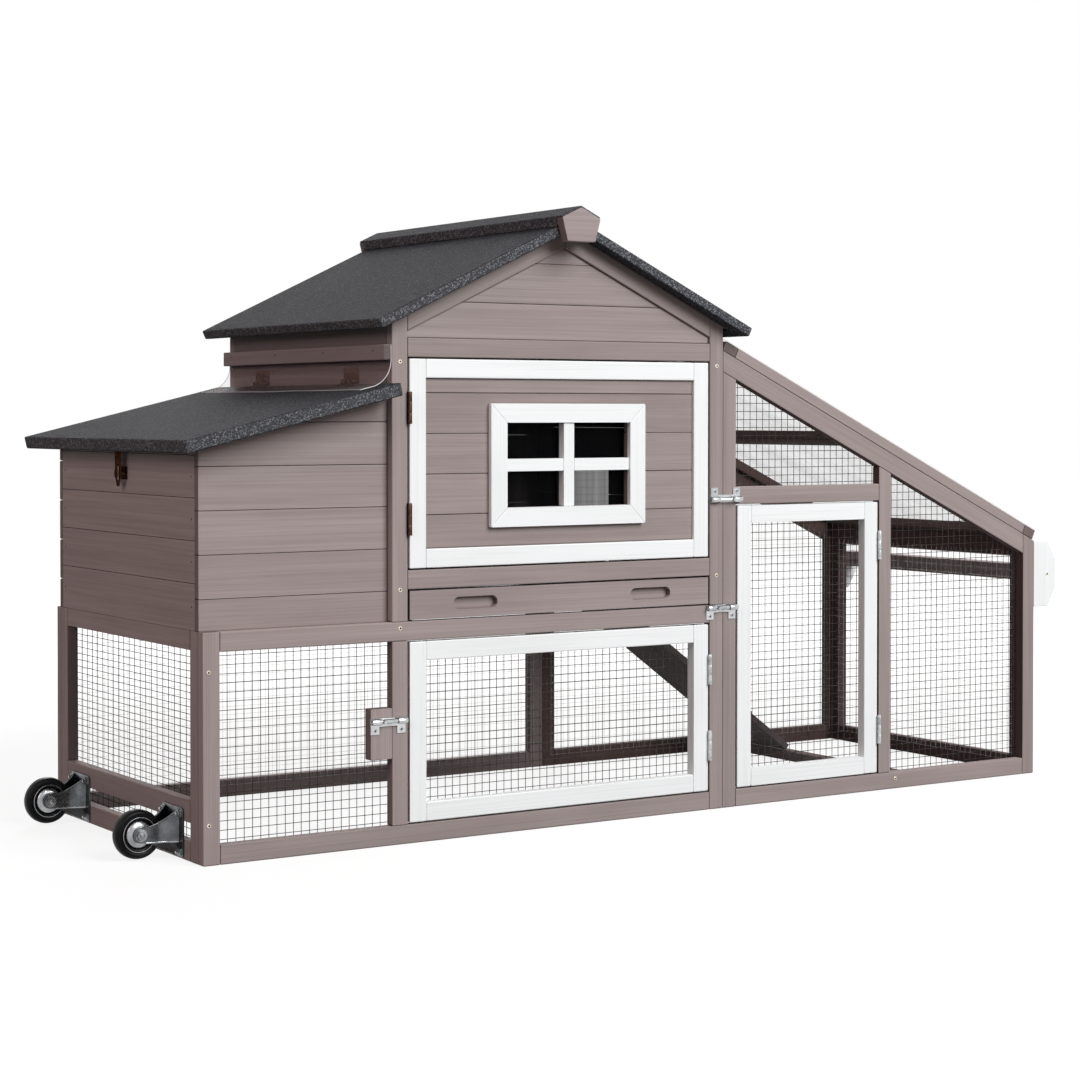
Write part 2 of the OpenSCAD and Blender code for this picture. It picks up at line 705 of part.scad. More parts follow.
module lid_felt() color(felt_grey)
    on_lid() difference() {
        bar([-lid_len, 0], lid_y, [-lid_t, 0]);
        bar([felt_t - lid_len, cut], [lid_y[0] + felt_t, lid_y[1] - felt_t], [-lid_t - cut, -felt_t]);
    }
module flap_batten() color(taupe)
    bar([house_x - batten_t - flap_t - 2 * face_gap, house_x - flap_t - 2 * face_gap], [2, body_depth - 2],
        [batten_z, batten_z + batten_h]);
// Flap: flat behind the batten, then a round fall that runs out along the lid
flap_x = house_x - face_gap - flap_t;
flap_r = ((batten_z - lid_top(flap_x)) * cos(lid_pitch) - flap_t - move_gap) / (1 - sin(lid_pitch));
flap_steps = 10;
function flap_point(r, k) = [flap_x - flap_r + r * cos(flap_turn(k)), batten_z - r * sin(flap_turn(k))];
function flap_turn(k) = (90 - lid_pitch) * k / flap_steps;
function flap_end(r) = flap_point(r, flap_steps) - flap_tail * [cos(lid_pitch), sin(lid_pitch)];
module rain_flap() color(clear_sheet)
    slab_y([2, body_depth - 2])
        polygon(concat([[flap_x, batten_z + batten_h]], [for (k = [0:flap_steps]) flap_point(flap_r, k)],
            [flap_end(flap_r), flap_end(flap_r + flap_t)],
            [for (k = [flap_steps:-1:0]) flap_point(flap_r + flap_t, k)],
            [[flap_x + flap_t, batten_z + batten_h]]));

// Run
module run_side() {
    p = [run_x, run_x + post_w];
    slab_y(front_y) polygon([[p[0], 0], [p[1], 0], [p[1], run_rail_under(p[1]) - g],
        [p[0], run_rail_under(p[0]) - g]]);
    e = body_len - post_w;
    slab_y(front_y) polygon([[e, 0], [body_len, 0], [body_len, run_cap(body_len)], [e, run_cap(e)]]);
    slab_y(front_y) polygon([[run_x, run_rail_under(run_x)], [e - g, run_rail_under(e)], [e - g, run_cap(e)],
        [run_x, run_cap(run_x)]]);
    bar([run_x + post_w + g, e - g], front_y, [0, rail_h]);
}
module run_side_frames() color(taupe) {
    both_sides() run_side();
    m = [run_mid_x, run_mid_x + post_w];
    slab_y(front_y) polygon([[m[0], rail_h + g], [m[1], rail_h + g], [m[1], run_rail_under(m[1]) - g],
        [m[0], run_rail_under(m[0]) - g]]);
    bar([run_x + post_w + g, run_mid_x - g], front_y, [run_rail_z, run_rail_z + rail_h]);
}
run_end_x = [body_len - frame_t, body_len];
module run_end_frame() color(taupe) {
    for (y = [end_y[0], end_y[1] - post_w])
        slab_y([y, y + post_w])
            polygon([[run_end_x[0], 0], [run_end_x[1], 0], [run_end_x[1], end_top],
                [run_end_x[0], run_cap(run_end_x[0])]]);
    span = [end_y[0] + post_w + g, end_y[1] - post_w - g];
    bar(run_end_x, span, [0, rail_h]);
    bar([foot_x - 4, foot_x - 4 + tie_w], inner_y, [0, tie_h]);
    slab_y(span)
        polygon([[run_end_x[0], end_rail_z], [run_end_x[1], end_rail_z], [run_end_x[1], end_top],
            [run_end_x[0], run_cap(run_end_x[0])]]);
}
module on_run_slope() translate([run_x, 0, run_top_z]) rotate([0, run_pitch, 0]) children();
module run_roof_frame() color(taupe)
    on_run_slope() {
        z = [-frame_t, 0];
        for (u = [run_u0, run_u1 - post_w])
            bar([u, u + post_w], [0, body_depth], z);
        both_sides() bar([run_u0 + post_w + g, run_u1 - post_w - g], [0, post_w], z);
        bar([purlin_u - post_w / 2, purlin_u + post_w / 2], [post_w + g, body_depth - post_w - g], z);
    }
module run_roof_sheet() color(clear_sheet, 0.5)
    on_run_slope() bar([cut, run_u1], [0, body_depth], [0, sheet_t]);

// Wire nets on the inner faces of the frames
module lower_mesh() color(wire) {
    z = rail_h - net_lap;
    top = [1, 1] * (lower_h - rail_h + net_lap);
    net_y([frame_t + 3, house_x + net_lap], z, top);
    net_x([end_y[0] + post_w - net_lap, end_y[1] - post_w + net_lap], z, top);
    to_back() net_y([frame_t + 3, bay_x[1] + net_lap], z, top);
}
module run_net(x, z) net_y(x, z, [run_rail_under(x[0]) + net_lap, run_rail_under(x[1]) + net_lap]);
module run_mesh() color(wire) {
    z = rail_h - net_lap;
    right = run_end_x[0] - 3;
    run_net([run_mid_x + post_w - net_lap, right], z);
    run_net([run_x + post_w - net_lap, run_mid_x + net_lap], run_rail_z + rail_h - net_lap);
    to_back() run_net([run_x + post_w - net_lap, right], z);
    translate([body_len, 0, 0]) mirror([1, 0, 0])
        net_x([end_y[0] + post_w - net_lap, end_y[1] - post_w + net_lap], z,
            [1, 1] * (end_rail_z + net_lap));
}

// Castors
module castor_fork(y) translate([0, y, 0]) {
    z = [castor_plate_z, castor_plate_z + castor_plate_h];
    bar([-fork_t, 0], [-castor_plate_w / 2, castor_plate_w / 2], z);
    for (side = [-arm_in - fork_t, arm_in])
        slab_y([side, side + fork_t]) difference() {
            union() {
                polygon([[-fork_t - 0.01, z[0] + 8], [-fork_t + 0.5, z[0] + 8], [-fork_t + 0.5, z[1] - 8],
                    [-fork_t - 0.01, z[1] - 8], [axle_x, axle_z + 12], [axle_x, axle_z - 12]]);
                translate([axle_x, axle_z]) circle(r = 12);
            }
            translate([axle_x, axle_z]) circle(r = axle_r + run_clear);
        }
}
module castor_forks() color(zinc) for (y = castor_y) castor_fork(y);
module on_axle(y) translate([axle_x, y, axle_z]) rotate([-90, 0, 0]) children();
module castor_axles() color(zinc)
    for (y = castor_y) on_axle(y) {
        reach = arm_in + fork_t;
        translate([0, 0, -reach]) cylinder(r = axle_r, h = 2 * reach);
        for (z = [-reach - axle_head, reach])
            translate([0, 0, z]) cylinder(r = axle_r + 3, h = axle_head, $fn = 6);
    }
module tyre(y) color(rubber)
    on_axle(y) rotate_extrude() {
        r = wheel_d / 2;
        h = tyre_w / 2;
        polygon([[hub_r, -h], [r - 4, -h], [r - 1.2, 2.8 - h], [r, 6 - h], [r, h - 6], [r - 1.2, h - 2.8],
            [r - 4, h], [hub_r, h]]);
    }
module hub(y) color(zinc)
    on_axle(y) rotate_extrude() {
        a = axle_r + run_clear;
        rim = hub_r - face_gap;
        h = tyre_w / 2;
        b = boss_w / 2;
        polygon([[a, -b], [a + 6, -b], [hub_r - 7, -h * 0.6], [rim - 2, -h - 0.5], [rim, -h - 0.5],
            [rim, h + 0.5], [rim - 2, h + 0.5], [hub_r - 7, h * 0.6], [a + 6, b], [a, b]]);
    }
module front_tyre() tyre(castor_y[0]);
module front_hub() hub(castor_y[0]);
module rear_tyre() tyre(castor_y[1]);
module rear_hub() hub(castor_y[1]);

// Handle
module handle_plates() color(white)
    both_sides() slab_y([0, handle_t]) {
        x = [body_len, body_len + handle_reach];
        z = handle_z;
        polygon([[x[0], z[0]], [x[1] - handle_clip[0], z[0]], [x[1], z[0] + handle_clip[1]],
            [x[1], z[1] - handle_clip[1]], [x[1] - handle_clip[0], z[1]], [x[0], z[1]]]);
    }
module handle_bar() color(taupe)
    bar(handle_bar_x, [handle_t, body_depth - handle_t],
        [handle_mid_z - rail_h / 2, handle_mid_z + rail_h / 2]);

// Hinges: leaves on the posts and walls, their pins, and the leaves on doors, lid and ramp
fixed_off = door_gap / 2 - leaf_t;
module fixed_door_leaf() hinge_half(fixed_spans, fixed_off, leaf_reach);
module swing_door_leaf() hinge_half(swing_spans, -door_gap / 2, leaf_reach);
module zinc_hinge_leaves() color(zinc) {
    at_door_hinges(lower_pin_x, lower_door_z) fixed_door_leaf();
    at_door_hinges(run_pin_x, run_door_z) fixed_door_leaf();
    at_lid_hinges() hinge_half(fixed_spans, wall_pin - leaf_t, leaf_reach + 3);
    at_ramp_hinges() hinge_half(fixed_spans, -wall_pin, leaf_reach + 3);
}
module bronze_fittings() color(bronze) {
    at_door_hinges(house_pin_x, house_door_z) mirror([1, 0, 0]) fixed_door_leaf();
    translate([-1, mid_y, staple_z]) rotate([0, -90, 0]) cylinder(r = staple_r, h = staple_reach - 1);
    bar([-1, 0], [mid_y - hasp_w / 2, mid_y + hasp_w / 2], [staple_z - 10, staple_z + 10]);
}
module hinge_pins() color(zinc) {
    at_door_hinges(house_pin_x, house_door_z) hinge_pin();
    at_door_hinges(lower_pin_x, lower_door_z) hinge_pin();
    at_door_hinges(run_pin_x, run_door_z) hinge_pin();
    at_lid_hinges() hinge_pin();
    at_ramp_hinges() hinge_pin();
}
module house_door_leaves() color(bronze)
    at_door_hinges(house_pin_x, house_door_z) mirror([1, 0, 0]) swing_door_leaf();
module lower_door_leaves() color(zinc) at_door_hinges(lower_pin_x, lower_door_z) swing_door_leaf();
module run_door_leaves() color(zinc) at_door_hinges(run_pin_x, run_door_z) swing_door_leaf();
hasp_spans = [[0, 4], [hasp_w - 4, hasp_w]];
module lid_fittings() color(bronze) {
    at_lid_hinges() rotate([0, 0, 90 + lid_pitch]) hinge_half(swing_spans, -pin_lift, leaf_reach - 5);
    at_hasp() {
        rotate([0, 0, 90 + lid_pitch])
            hinge_half(hasp_spans, hasp_lift - leaf_t, leaf_reach, hasp_w, hasp_knuckle_r, hasp_pin_r);
        hinge_pin(hasp_w, hasp_pin_r);
    }
}
module hasp_strap() color(bronze)
    at_hasp() rotate([0, 0, 180]) difference() {
        hinge_half([[4 + move_gap, hasp_w - 4 - move_gap]], -leaf_t / 2, hasp_len, hasp_w, hasp_knuckle_r,
            hasp_pin_r);
        bar([-leaf_t, leaf_t], [hasp_len - hasp_slot_end - hasp_slot[1], hasp_len - hasp_slot_end],
            [(hasp_w - hasp_slot[0]) / 2, (hasp_w + hasp_slot[0]) / 2]);
        for (side = [0, 1]) translate([0, hasp_len, hasp_w / 2]) mirror([0, 0, side]) rotate([90, 0, 90])
            translate([0, 0, -leaf_t]) linear_extrude(2 * leaf_t)
                polygon([[cut, hasp_w / 6 - 0.4], [cut, hasp_w], [-hasp_tip, hasp_w],
                    [-hasp_tip, hasp_w / 2]]);
    }
module ramp_leaves() color(zinc)
    at_ramp_hinges() rotate([0, 0, -90 - ramp_pitch])
        hinge_half(swing_spans, pin_lift - leaf_t, leaf_reach + 8);

// Bolts
module bolt_plates() color(zinc) {
    at_bolt(house_bolt_at, 180) bolt_plate();
    at_bolt(run_bolt_at, 0) bolt_plate();
    at_bolt(lower_bolt_at, 0) bolt_plate();
}
module house_bolt() color(zinc) at_bolt(house_bolt_at, 180) sliding_bolt();
module run_bolt() color(zinc) at_bolt(run_bolt_at, 0) sliding_bolt();
module lower_bolt() color(zinc) at_bolt(lower_bolt_at, 0) sliding_bolt();

// Screw heads on the front and back faces and on the castor plates
screw_r = 3.5;
screw_t = 1.2;
castor_hole = 9;
module screw_y(x, z) translate([x, 0, z]) rotate([90, 0, 0]) cylinder(r = screw_r, h = screw_t);
module frame_screws() color(zinc) {
    both_sides() {
        for (x = [house_x + post_w / 2, house_x1 - post_w / 2], z = [sill_z, gable_z - rail_h / 4])
            screw_y(x, z);
        for (z = [rail_h * 2, lower_h - rail_h * 2]) screw_y(post_w / 3, z);
        screw_y(run_mid_x + post_w + 12, rail_h * 0.6);
        screw_y(house_x + post_w / 2, lower_h - rail_h / 3);
    }
    for (y = castor_y, side = [-1, 1], z = [castor_hole, castor_plate_h - castor_hole])
        translate([-fork_t, y + side * (castor_plate_w / 2 - castor_hole), castor_plate_z + z])
            rotate([0, -90, 0]) cylinder(r = screw_r + 1, h = 3, $fn = 6);
    both_sides() translate([(handle_bar_x[0] + handle_bar_x[1]) / 2, 0, handle_mid_z]) rotate([90, 0, 0])
        cylinder(r = screw_r, h = screw_t);
}

// House door
module house_door_frame() color(white) door_frame(door_x, house_door_z);
plank_edges = row_edges(plank_z, plank_h - 11, plank_h);
module house_door_planks() color(taupe)
    for (i = [0:len(plank_edges) - 2])
        slab_y(plank_y) difference() {
            row(plank_x, plank_edges, i);
            translate(window_mid - window_hole / 2) square(window_hole);
        }
// One mitred side of the window trim, along X at the foot of a w by h frame
module trim_side(w, h) {
    t = window_trim_w;
    polygon([[-w / 2 + g, -h / 2], [w / 2 - g, -h / 2], [w / 2 - t - g, t - h / 2],
        [-w / 2 + t + g, t - h / 2]]);
}
module window_trim() color(white) {
    bar_y = [trim_y[0] + 3, plank_y[1] - 1];
    slab_y(trim_y) translate(window_mid) {
        for (a = [0, 180]) rotate(a) trim_side(window_w, window_h);
        for (a = [90, 270]) rotate(a) trim_side(window_h, window_w);
    }
    slab_y(bar_y) translate(window_mid) {
        square([window_bar, window_hole[1] - 2 * g], center = true);
        for (side = [-1, 1]) translate([side * (window_hole[0] / 2 + window_bar / 2) / 2, 0])
            square([window_hole[0] / 2 - window_bar / 2 - 2 * g, window_bar], center = true);
    }
}
module window_pane() color(clear_sheet, 0.4)
    slab_y([plank_y[1], plank_y[1] + pane_t])
        translate(window_mid) square(window_hole + [24, 24], center = true);

// Wire doors
module door_net(x, z)
    net_y([x[0] + door_rail - net_lap, x[1] - door_rail + net_lap], z[0] + door_rail - net_lap,
        [1, 1] * (z[1] - door_rail + net_lap));
module lower_door_frame() color(white) door_frame(door_x, lower_door_z);
module lower_door_mesh() color(wire) door_net(door_x, lower_door_z);
module run_door_frame() color(white) door_frame(run_door_x, run_door_z);
module run_door_mesh() color(wire) door_net(run_door_x, run_door_z);

// Tray
tray_z = lower_h + (tray_bay_h - tray_front_h) / 2;
pan_z = lower_h + move_gap;
module slot_outline() {
    r = slot_h / 2;
    for (side = [-1, 1]) translate([side * (slot_w / 2 - r), 0]) circle(r = r);
    square([slot_w - slot_h, slot_h], center = true);
}
module tray_front() color(taupe)
    difference() {
        bar(door_x, front_y, [tray_z, tray_z + tray_front_h]);
        for (side = [-1, 1])
            slab_y([-cut, slot_d])
                translate([(door_x[0] + door_x[1]) / 2 + side * slot_pitch / 2, tray_z + tray_front_h / 2])
                    slot_outline();
    }
module tray_pan() color(zinc)
    difference() {
        y = [inner_y[0], body_depth - infill_y[1] - 4];
        bar([door_x[0] + 1, door_x[1] - 1], y, [pan_z, pan_z + pan_h]);
        bar([door_x[0] + 1 + pan_t, door_x[1] - 1 - pan_t], [y[0] + pan_t, y[1] - pan_t],
            [pan_z + pan_t, pan_z + pan_h + cut]);
    }

// Ramp board with its cleats
module ramp_board() color(taupe)
    translate([ramp_pin_x, 0, ramp_pin_z]) rotate([0, ramp_pitch, 0]) {
        y = [ramp_y, ramp_y + ramp_w];
        bar([ramp_u0, ramp_u1], y, [-ramp_drop, -pin_lift]);
        for (u = [ramp_u0 + cleat_pitch:cleat_pitch:ramp_u1 - cleat_pitch / 2])
            bar([u, u + cleat_w], y + [10, -10], [g - pin_lift, g - pin_lift + cleat_t]);
    }

centred() lower_side_frames();
centred() lower_end_frame();
centred() floor_bearers();
centred() house_posts();
centred() house_rails();
centred() gable_boards();
centred() house_back_boards();
centred() house_side_boards();
centred() perches();
centred() nest_wall_boards();
centred() nest_inner_boards();
centred() roof_decks();
centred() roof_felt();
centred() ridge_cap();
centred() ridge_ends();
centred() flap_batten();
centred() rain_flap();
centred() run_side_frames();
centred() run_end_frame();
centred() run_roof_frame();
centred() run_roof_sheet();
centred() lower_mesh();
centred() run_mesh();
centred() castor_forks();
centred() castor_axles();
centred() front_tyre();
centred() front_hub();
centred() rear_tyre();
centred() rear_hub();
centred() handle_plates();
centred() handle_bar();
centred() zinc_hinge_leaves();
centred() bronze_fittings();
centred() hinge_pins();
centred() bolt_plates();
centred() house_bolt();
centred() lower_bolt();
centred() run_bolt();
centred() frame_screws();
centred() house_door_frame();
centred() house_door_planks();
centred() window_trim();
centred() window_pane();
centred() house_door_leaves();
centred() lower_door_frame();
centred() lower_door_mesh();
centred() lower_door_leaves();
centred() run_door_frame();
centred() run_door_mesh();
centred() run_door_leaves();
centred() tray_front();
centred() tray_pan();
centred() nest_lid();
centred() lid_felt();
centred() lid_fittings();
centred() hasp_strap();
centred() ramp_board();
centred() ramp_leaves();
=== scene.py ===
"""Dresses a wheeled poultry house: stained boards, felt, wire net, clear sheets and fittings."""

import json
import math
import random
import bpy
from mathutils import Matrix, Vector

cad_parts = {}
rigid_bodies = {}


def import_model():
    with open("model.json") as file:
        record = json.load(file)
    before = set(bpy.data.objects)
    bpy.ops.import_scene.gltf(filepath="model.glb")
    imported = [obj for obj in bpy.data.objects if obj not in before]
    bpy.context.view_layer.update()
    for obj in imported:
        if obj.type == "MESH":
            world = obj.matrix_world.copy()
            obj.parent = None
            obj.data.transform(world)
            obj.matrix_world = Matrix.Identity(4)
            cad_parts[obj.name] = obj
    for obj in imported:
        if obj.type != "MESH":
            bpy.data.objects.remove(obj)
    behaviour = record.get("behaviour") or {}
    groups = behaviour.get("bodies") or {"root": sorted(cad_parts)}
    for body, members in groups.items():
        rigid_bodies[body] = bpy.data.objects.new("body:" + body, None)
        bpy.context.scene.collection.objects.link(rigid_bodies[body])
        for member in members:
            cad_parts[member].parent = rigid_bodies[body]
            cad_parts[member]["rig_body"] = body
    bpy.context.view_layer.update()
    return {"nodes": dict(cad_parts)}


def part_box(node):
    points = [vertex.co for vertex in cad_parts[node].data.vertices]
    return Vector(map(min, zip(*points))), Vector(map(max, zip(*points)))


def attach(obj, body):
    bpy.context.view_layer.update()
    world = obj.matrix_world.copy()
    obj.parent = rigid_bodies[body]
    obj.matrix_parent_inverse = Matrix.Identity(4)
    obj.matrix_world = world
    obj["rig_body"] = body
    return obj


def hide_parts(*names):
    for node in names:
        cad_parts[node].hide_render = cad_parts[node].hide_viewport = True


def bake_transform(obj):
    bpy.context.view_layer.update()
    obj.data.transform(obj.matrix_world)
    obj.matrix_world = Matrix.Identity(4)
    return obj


bl_info = {
    "name": "Poultry House Dressing",
    "version": (1, 0, 0),
    "blender": (4, 5, 0),
    "location": "View3D > Sidebar > Poultry House",
    "description": "Gives the packed poultry house its boards, felt, net, fittings and stage",
    "category": "Object",
}

import bmesh
import bpy
import numpy as np
from bpy.props import FloatProperty, FloatVectorProperty, IntProperty, PointerProperty
from mathutils import Matrix, Vector

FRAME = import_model()

# The yard frame has its corner at the left end of the front face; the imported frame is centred.
YARD_CENTRE = Vector((0.82875, 0.29, 0.0))

# Slopes of the boards, in degrees from level: house roof, run roof, nest lid and ramp.
ROOF_PITCH = 25.3
RUN_PITCH = 25.2
LID_PITCH = 13.5
RAMP_PITCH = 36.4

STAINED_NODES = (
    "lower_side_frames", "lower_end_frame", "floor_bearers", "house_posts", "house_rails",
    "gable_boards", "house_back_boards", "house_side_boards", "perches", "nest_wall_boards",
    "nest_inner_boards", "roof_decks", "ridge_ends", "flap_batten", "run_side_frames",
    "run_end_frame", "run_roof_frame", "handle_bar", "house_door_planks", "tray_front",
    "nest_lid", "ramp_board",
)
PAINTED_NODES = (
    "house_door_frame", "window_trim", "lower_door_frame", "run_door_frame", "handle_plates",
)
FELT_NODES = ("roof_felt", "ridge_cap", "lid_felt")
ZINC_NODES = (
    "zinc_hinge_leaves", "hinge_pins", "lower_door_leaves", "run_door_leaves", "ramp_leaves",
    "tray_pan",
)
# Painted shade on boards that sit in shade, under the eaves and inside the house: how much of
# their lightness is left.
PAINTED_SHADE_BOARDS = {
    "house_side_boards": 0.66, "flap_batten": 0.9, "ramp_board": 0.28, "floor_bearers": 0.6,
    "perches": 0.7, "nest_inner_boards": 0.7,
}
# Painted shade on frames and walls: their faces that look inside are coloured browner, by this
# much.
INSIDE_SHADE_FRAMES = {
    "lower_side_frames": 0.4, "lower_end_frame": 0.4, "run_side_frames": 1.0,
    "run_end_frame": 1.0, "run_roof_frame": 1.0, "house_back_boards": 1.0,
    "house_side_boards": 1.0,
}
BOLT_NODES = ("bolt_plates", "house_bolt", "lower_bolt", "run_bolt")
BRONZE_NODES = ("bronze_fittings", "house_door_leaves", "lid_fittings", "hasp_strap")

# Sizes of the finishes' patterns, in metres: knots and blotches along and across the grain.
KNOT_GAP, BLOTCH = (0.6, 0.2), (0.16, 0.05)
PAINT_PATCH, FELT_CLOUD, RUBBER_DUST, RECESS_BLOTCH = 0.06, 0.07, 0.012, 0.0015
# How far painted shade reaches from a seam between boards or fittings, in metres, and samples
# taken there.
BOARD_SHADE_REACH, METAL_SHADE_REACH, SEAM_SAMPLES = 0.005, 0.002, 6
# Acrylic bends light by this much, and soft PVC by little more.
PLASTIC_IOR = 1.49
# Rounding on hinges and bolts and on the castor forks, in metres.
FITTING_EASE, FORK_EASE = 0.0003, 0.0004
# Corners nearer than this are one, in metres; edges sharper than this are eased, in degrees.
SAME_CORNER, EASED_ANGLE = 1e-5, 35
# Starts of the random draws for the stained boards, the painted boards and the net.
STAIN_SEED, PAINT_SEED, NET_SEED = 100, 200, 31


def linear(code):
    """Turn a six-figure sRGB colour into the linear values that shaders take."""
    parts = [int(code[i:i + 2], 16) / 255 for i in (0, 2, 4)]
    return tuple(c / 12.92 if c <= 0.04045 else ((c + 0.055) / 1.055) ** 2.4 for c in parts)


def colour(name, code, description):
    """A colour setting."""
    return FloatVectorProperty(
        name=name, description=description, subtype="COLOR", size=3, min=0, max=1,
        default=linear(code),
    )


def length(name, metres, description):
    """A length setting."""
    return FloatProperty(
        name=name, description=description, default=metres, min=0, unit="LENGTH", precision=5,
    )


def yard(x, y, z):
    """A point given in millimetres in the yard frame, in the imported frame's metres."""
    return Vector((x, y, z)) / 1000 - YARD_CENTRE


class TimberSettings(bpy.types.PropertyGroup):
    """Sizes and colours of the boards."""

    stain: colour("Stain", "A59A98", "Stained board where the stain is thin")
    stain_deep: colour("Deep stain", "8B807E", "Stained board where the grain took more stain")
    end_grain: colour("End grain", "5E5250", "Sawn ends, which drink the stain")
    # The knot colour is also the painted shade in the seams between boards.
    knot_and_seam_shade: colour("Knot", "4E4341", "Knots and resin streaks")
    # Painted shade: the stain is multiplied by this colour on faces that look inside.
    inner: colour("Inner coat", "8E7D7A", "How much of the stain shows through the inner coat")
    paint: colour("Paint", "EEF2F3", "White door paint")
    paint_thin: colour("Thin paint", "E0E3E3", "White paint where the grain shows through")
    ease: length("Eased edge", 0.0016, "Rounding on the edges of the boards")
    fibre: length("Fibre width", 0.003, "Width of one grain streak")
    streak: length("Streak length", 0.26, "Length of one grain streak")
    nail: length("Nail head", 0.0036, "Width of a nail head")


class FeltSettings(bpy.types.PropertyGroup):
    """Sizes and colours of the roofing felt."""

    mineral: colour("Mineral", "35363A", "Slate granules")
    mineral_dark: colour("Dark mineral", "1A1B1E", "Bitumen between the granules")
    # The pale granules also lift the felt's steep faces, as painted light.
    pale_granules_and_light: colour("Pale mineral", "9DA0A5", "Scattered pale granules")
    granule: length("Granule", 0.0017, "Width of one granule")
    ease: length("Folded edge", 0.0045, "Rounding where the felt folds over an edge")


class NetSettings(bpy.types.PropertyGroup):
    """Sizes and colours of the welded wire net."""

    pitch: length("Pitch", 0.0138, "Spacing of the wires")
    gauge: length("Gauge", 0.0011, "Thickness of a weathered wire")
    gauge_fine: length("Fine gauge", 0.00045, "Thickness of a bright wire")
    sides: IntProperty(name="Sides", description="Flats round one wire", default=6, min=3)
    steel: colour("Weathered wire", "2E2B2A", "Wire that has dulled")
    steel_pale: colour("Dull wire", "534F4E", "Wire that is dulling")
    zinc: colour("Bright wire", "979292", "Wire with its zinc still bright")
    zinc_pale: colour("New wire", "B5B1B1", "Wire with new zinc")


class FittingSettings(bpy.types.PropertyGroup):
    """Colours and sizes of the metal fittings and tyres."""

    zinc: colour("Zinc", "D3D5D6", "Bright zinc plate")
    zinc_dull: colour("Dull zinc", "8F9294", "Dulled zinc plate")
    chrome_dull: colour("Dull bolt", "A2A5A8", "Bolt plating that has dulled")
    pressed: colour("Pressed steel", "74777A", "Castor steel where it is rubbed bright")
    pressed_dark: colour("Dark pressed steel", "424547", "Castor steel as it left the bath")
    spun: colour("Spun hub", "B2B4B6", "Hub where the spinning left it bright")
    spun_dull: colour("Dull hub", "717476", "Hub as it left the bath")
    brass: colour("Screw head", "E9E2D2", "Yellow plated screws")
    brass_dull: colour("Dull screw head", "BDB29C", "Yellow plated screws that have dulled")
    # Black of the nail heads, and painted shade in screw recesses and in the seams of the bolts.
    nail_black_and_shade: colour("Recess", "1A1716", "Dirt in screw recesses, and nail heads")
    # Dust on the nail heads, and part of the painted shade in screw recesses and on the castor
    # gussets.
    dust_and_shade: colour("Dusty recess", "2E2927", "Dust in screw recesses")
    bronze: colour("Bronze", "5C463A", "Bronzed steel")
    bronze_dark: colour("Dark bronze", "33261F", "Bronzed steel in its hollows")
    rubber: colour("Rubber", "0B0B0C", "Tyre rubber")
    rubber_dust: colour("Dusty rubber", "1A1A1B", "Tyre rubber with dust on it")
    flats: IntProperty(name="Flats", description="Flats round a turned piece", default=72, min=12)


class SheetSettings(bpy.types.PropertyGroup):
    """Sizes and colours of the clear sheets."""

    # Also the nearly opaque white on the flap's cut edges, a painted highlight.
    clear: colour("Clear", "F4F6F8", "Clear plastic")
    flap: colour("Flap", "B4A19F", "Faint tint of the rain flap")
    milky: colour("Milky", "DFE2E2", "Hazed roof sheet")
    # A near-black tint that paints the shade inside the house behind the window.
    pane_shade: colour("Smoked", "08080A", "Smoked window pane")
    flap_thick: length("Flap thickness", 0.001, "Thickness of the rain flap")
    flap_wave: length("Flap wave", 0.0008, "How far the free edge of the flap waves")


class StageSettings(bpy.types.PropertyGroup):
    """Floor, lights and camera."""

    floor: colour("Floor", "747474", "What the studio floor throws back on the house")
    key: FloatProperty(name="Key", description="Front light", default=710, min=0, unit="POWER")
    side: FloatProperty(name="Side", description="Left light", default=92, min=0, unit="POWER")
    right: FloatProperty(name="Right", description="Right light", default=70, min=0, unit="POWER")
    back: FloatProperty(name="Back", description="Rear light", default=210, min=0, unit="POWER")
    sky: FloatProperty(name="Sky", description="Light from all round", default=0.09, min=0)
    white: colour("White", "FFFFFF", "Front, right and rear light")
    warm: colour("Warm", "FFE9E7", "Left light")
    dusk: colour("Dusk", "FFD9D4", "Light from all round")
    lens: FloatProperty(name="Lens", description="Focal length in mm", default=77.83, min=1)


class HouseSettings(bpy.types.PropertyGroup):
    """All settings, by kind of work."""

    timber: PointerProperty(type=TimberSettings)
    felt: PointerProperty(type=FeltSettings)
    net: PointerProperty(type=NetSettings)
    fitting: PointerProperty(type=FittingSettings)
    sheet: PointerProperty(type=SheetSettings)
    stage: PointerProperty(type=StageSettings)


def settings(context):
    """All settings of the scene, by group."""
    return context.scene.poultry_house


def feed(tree, node, inputs):
    """Set or link the inputs of a node, by their names or in their order."""
    pairs = inputs.items() if isinstance(inputs, dict) else enumerate(inputs)
    for socket, value in pairs:
        if isinstance(value, bpy.types.NodeSocket):
            tree.links.new(value, node.inputs[socket])
        elif node.inputs[socket].type == "RGBA":
            node.inputs[socket].default_value = (*value, 1.0)
        else:
            node.inputs[socket].default_value = value


def add(tree, kind, inputs=(), out=0, **options):
    """Add a shader node with its options and inputs, and give back one of its outputs.

    A MapRange takes a pattern, the low and high of it, and what these two become.
    """
    made = tree.nodes.new("ShaderNode" + kind)
    for option, value in options.items():
        setattr(made, option, value)
    feed(tree, made, inputs)
    return made.outputs[out]


def fresh_material(name):
    """A new material with a principled shader, and its tree."""
    material = bpy.data.materials.new(name)
    material.use_nodes = True
    return material, material.node_tree, material.node_tree.nodes["Principled BSDF"]


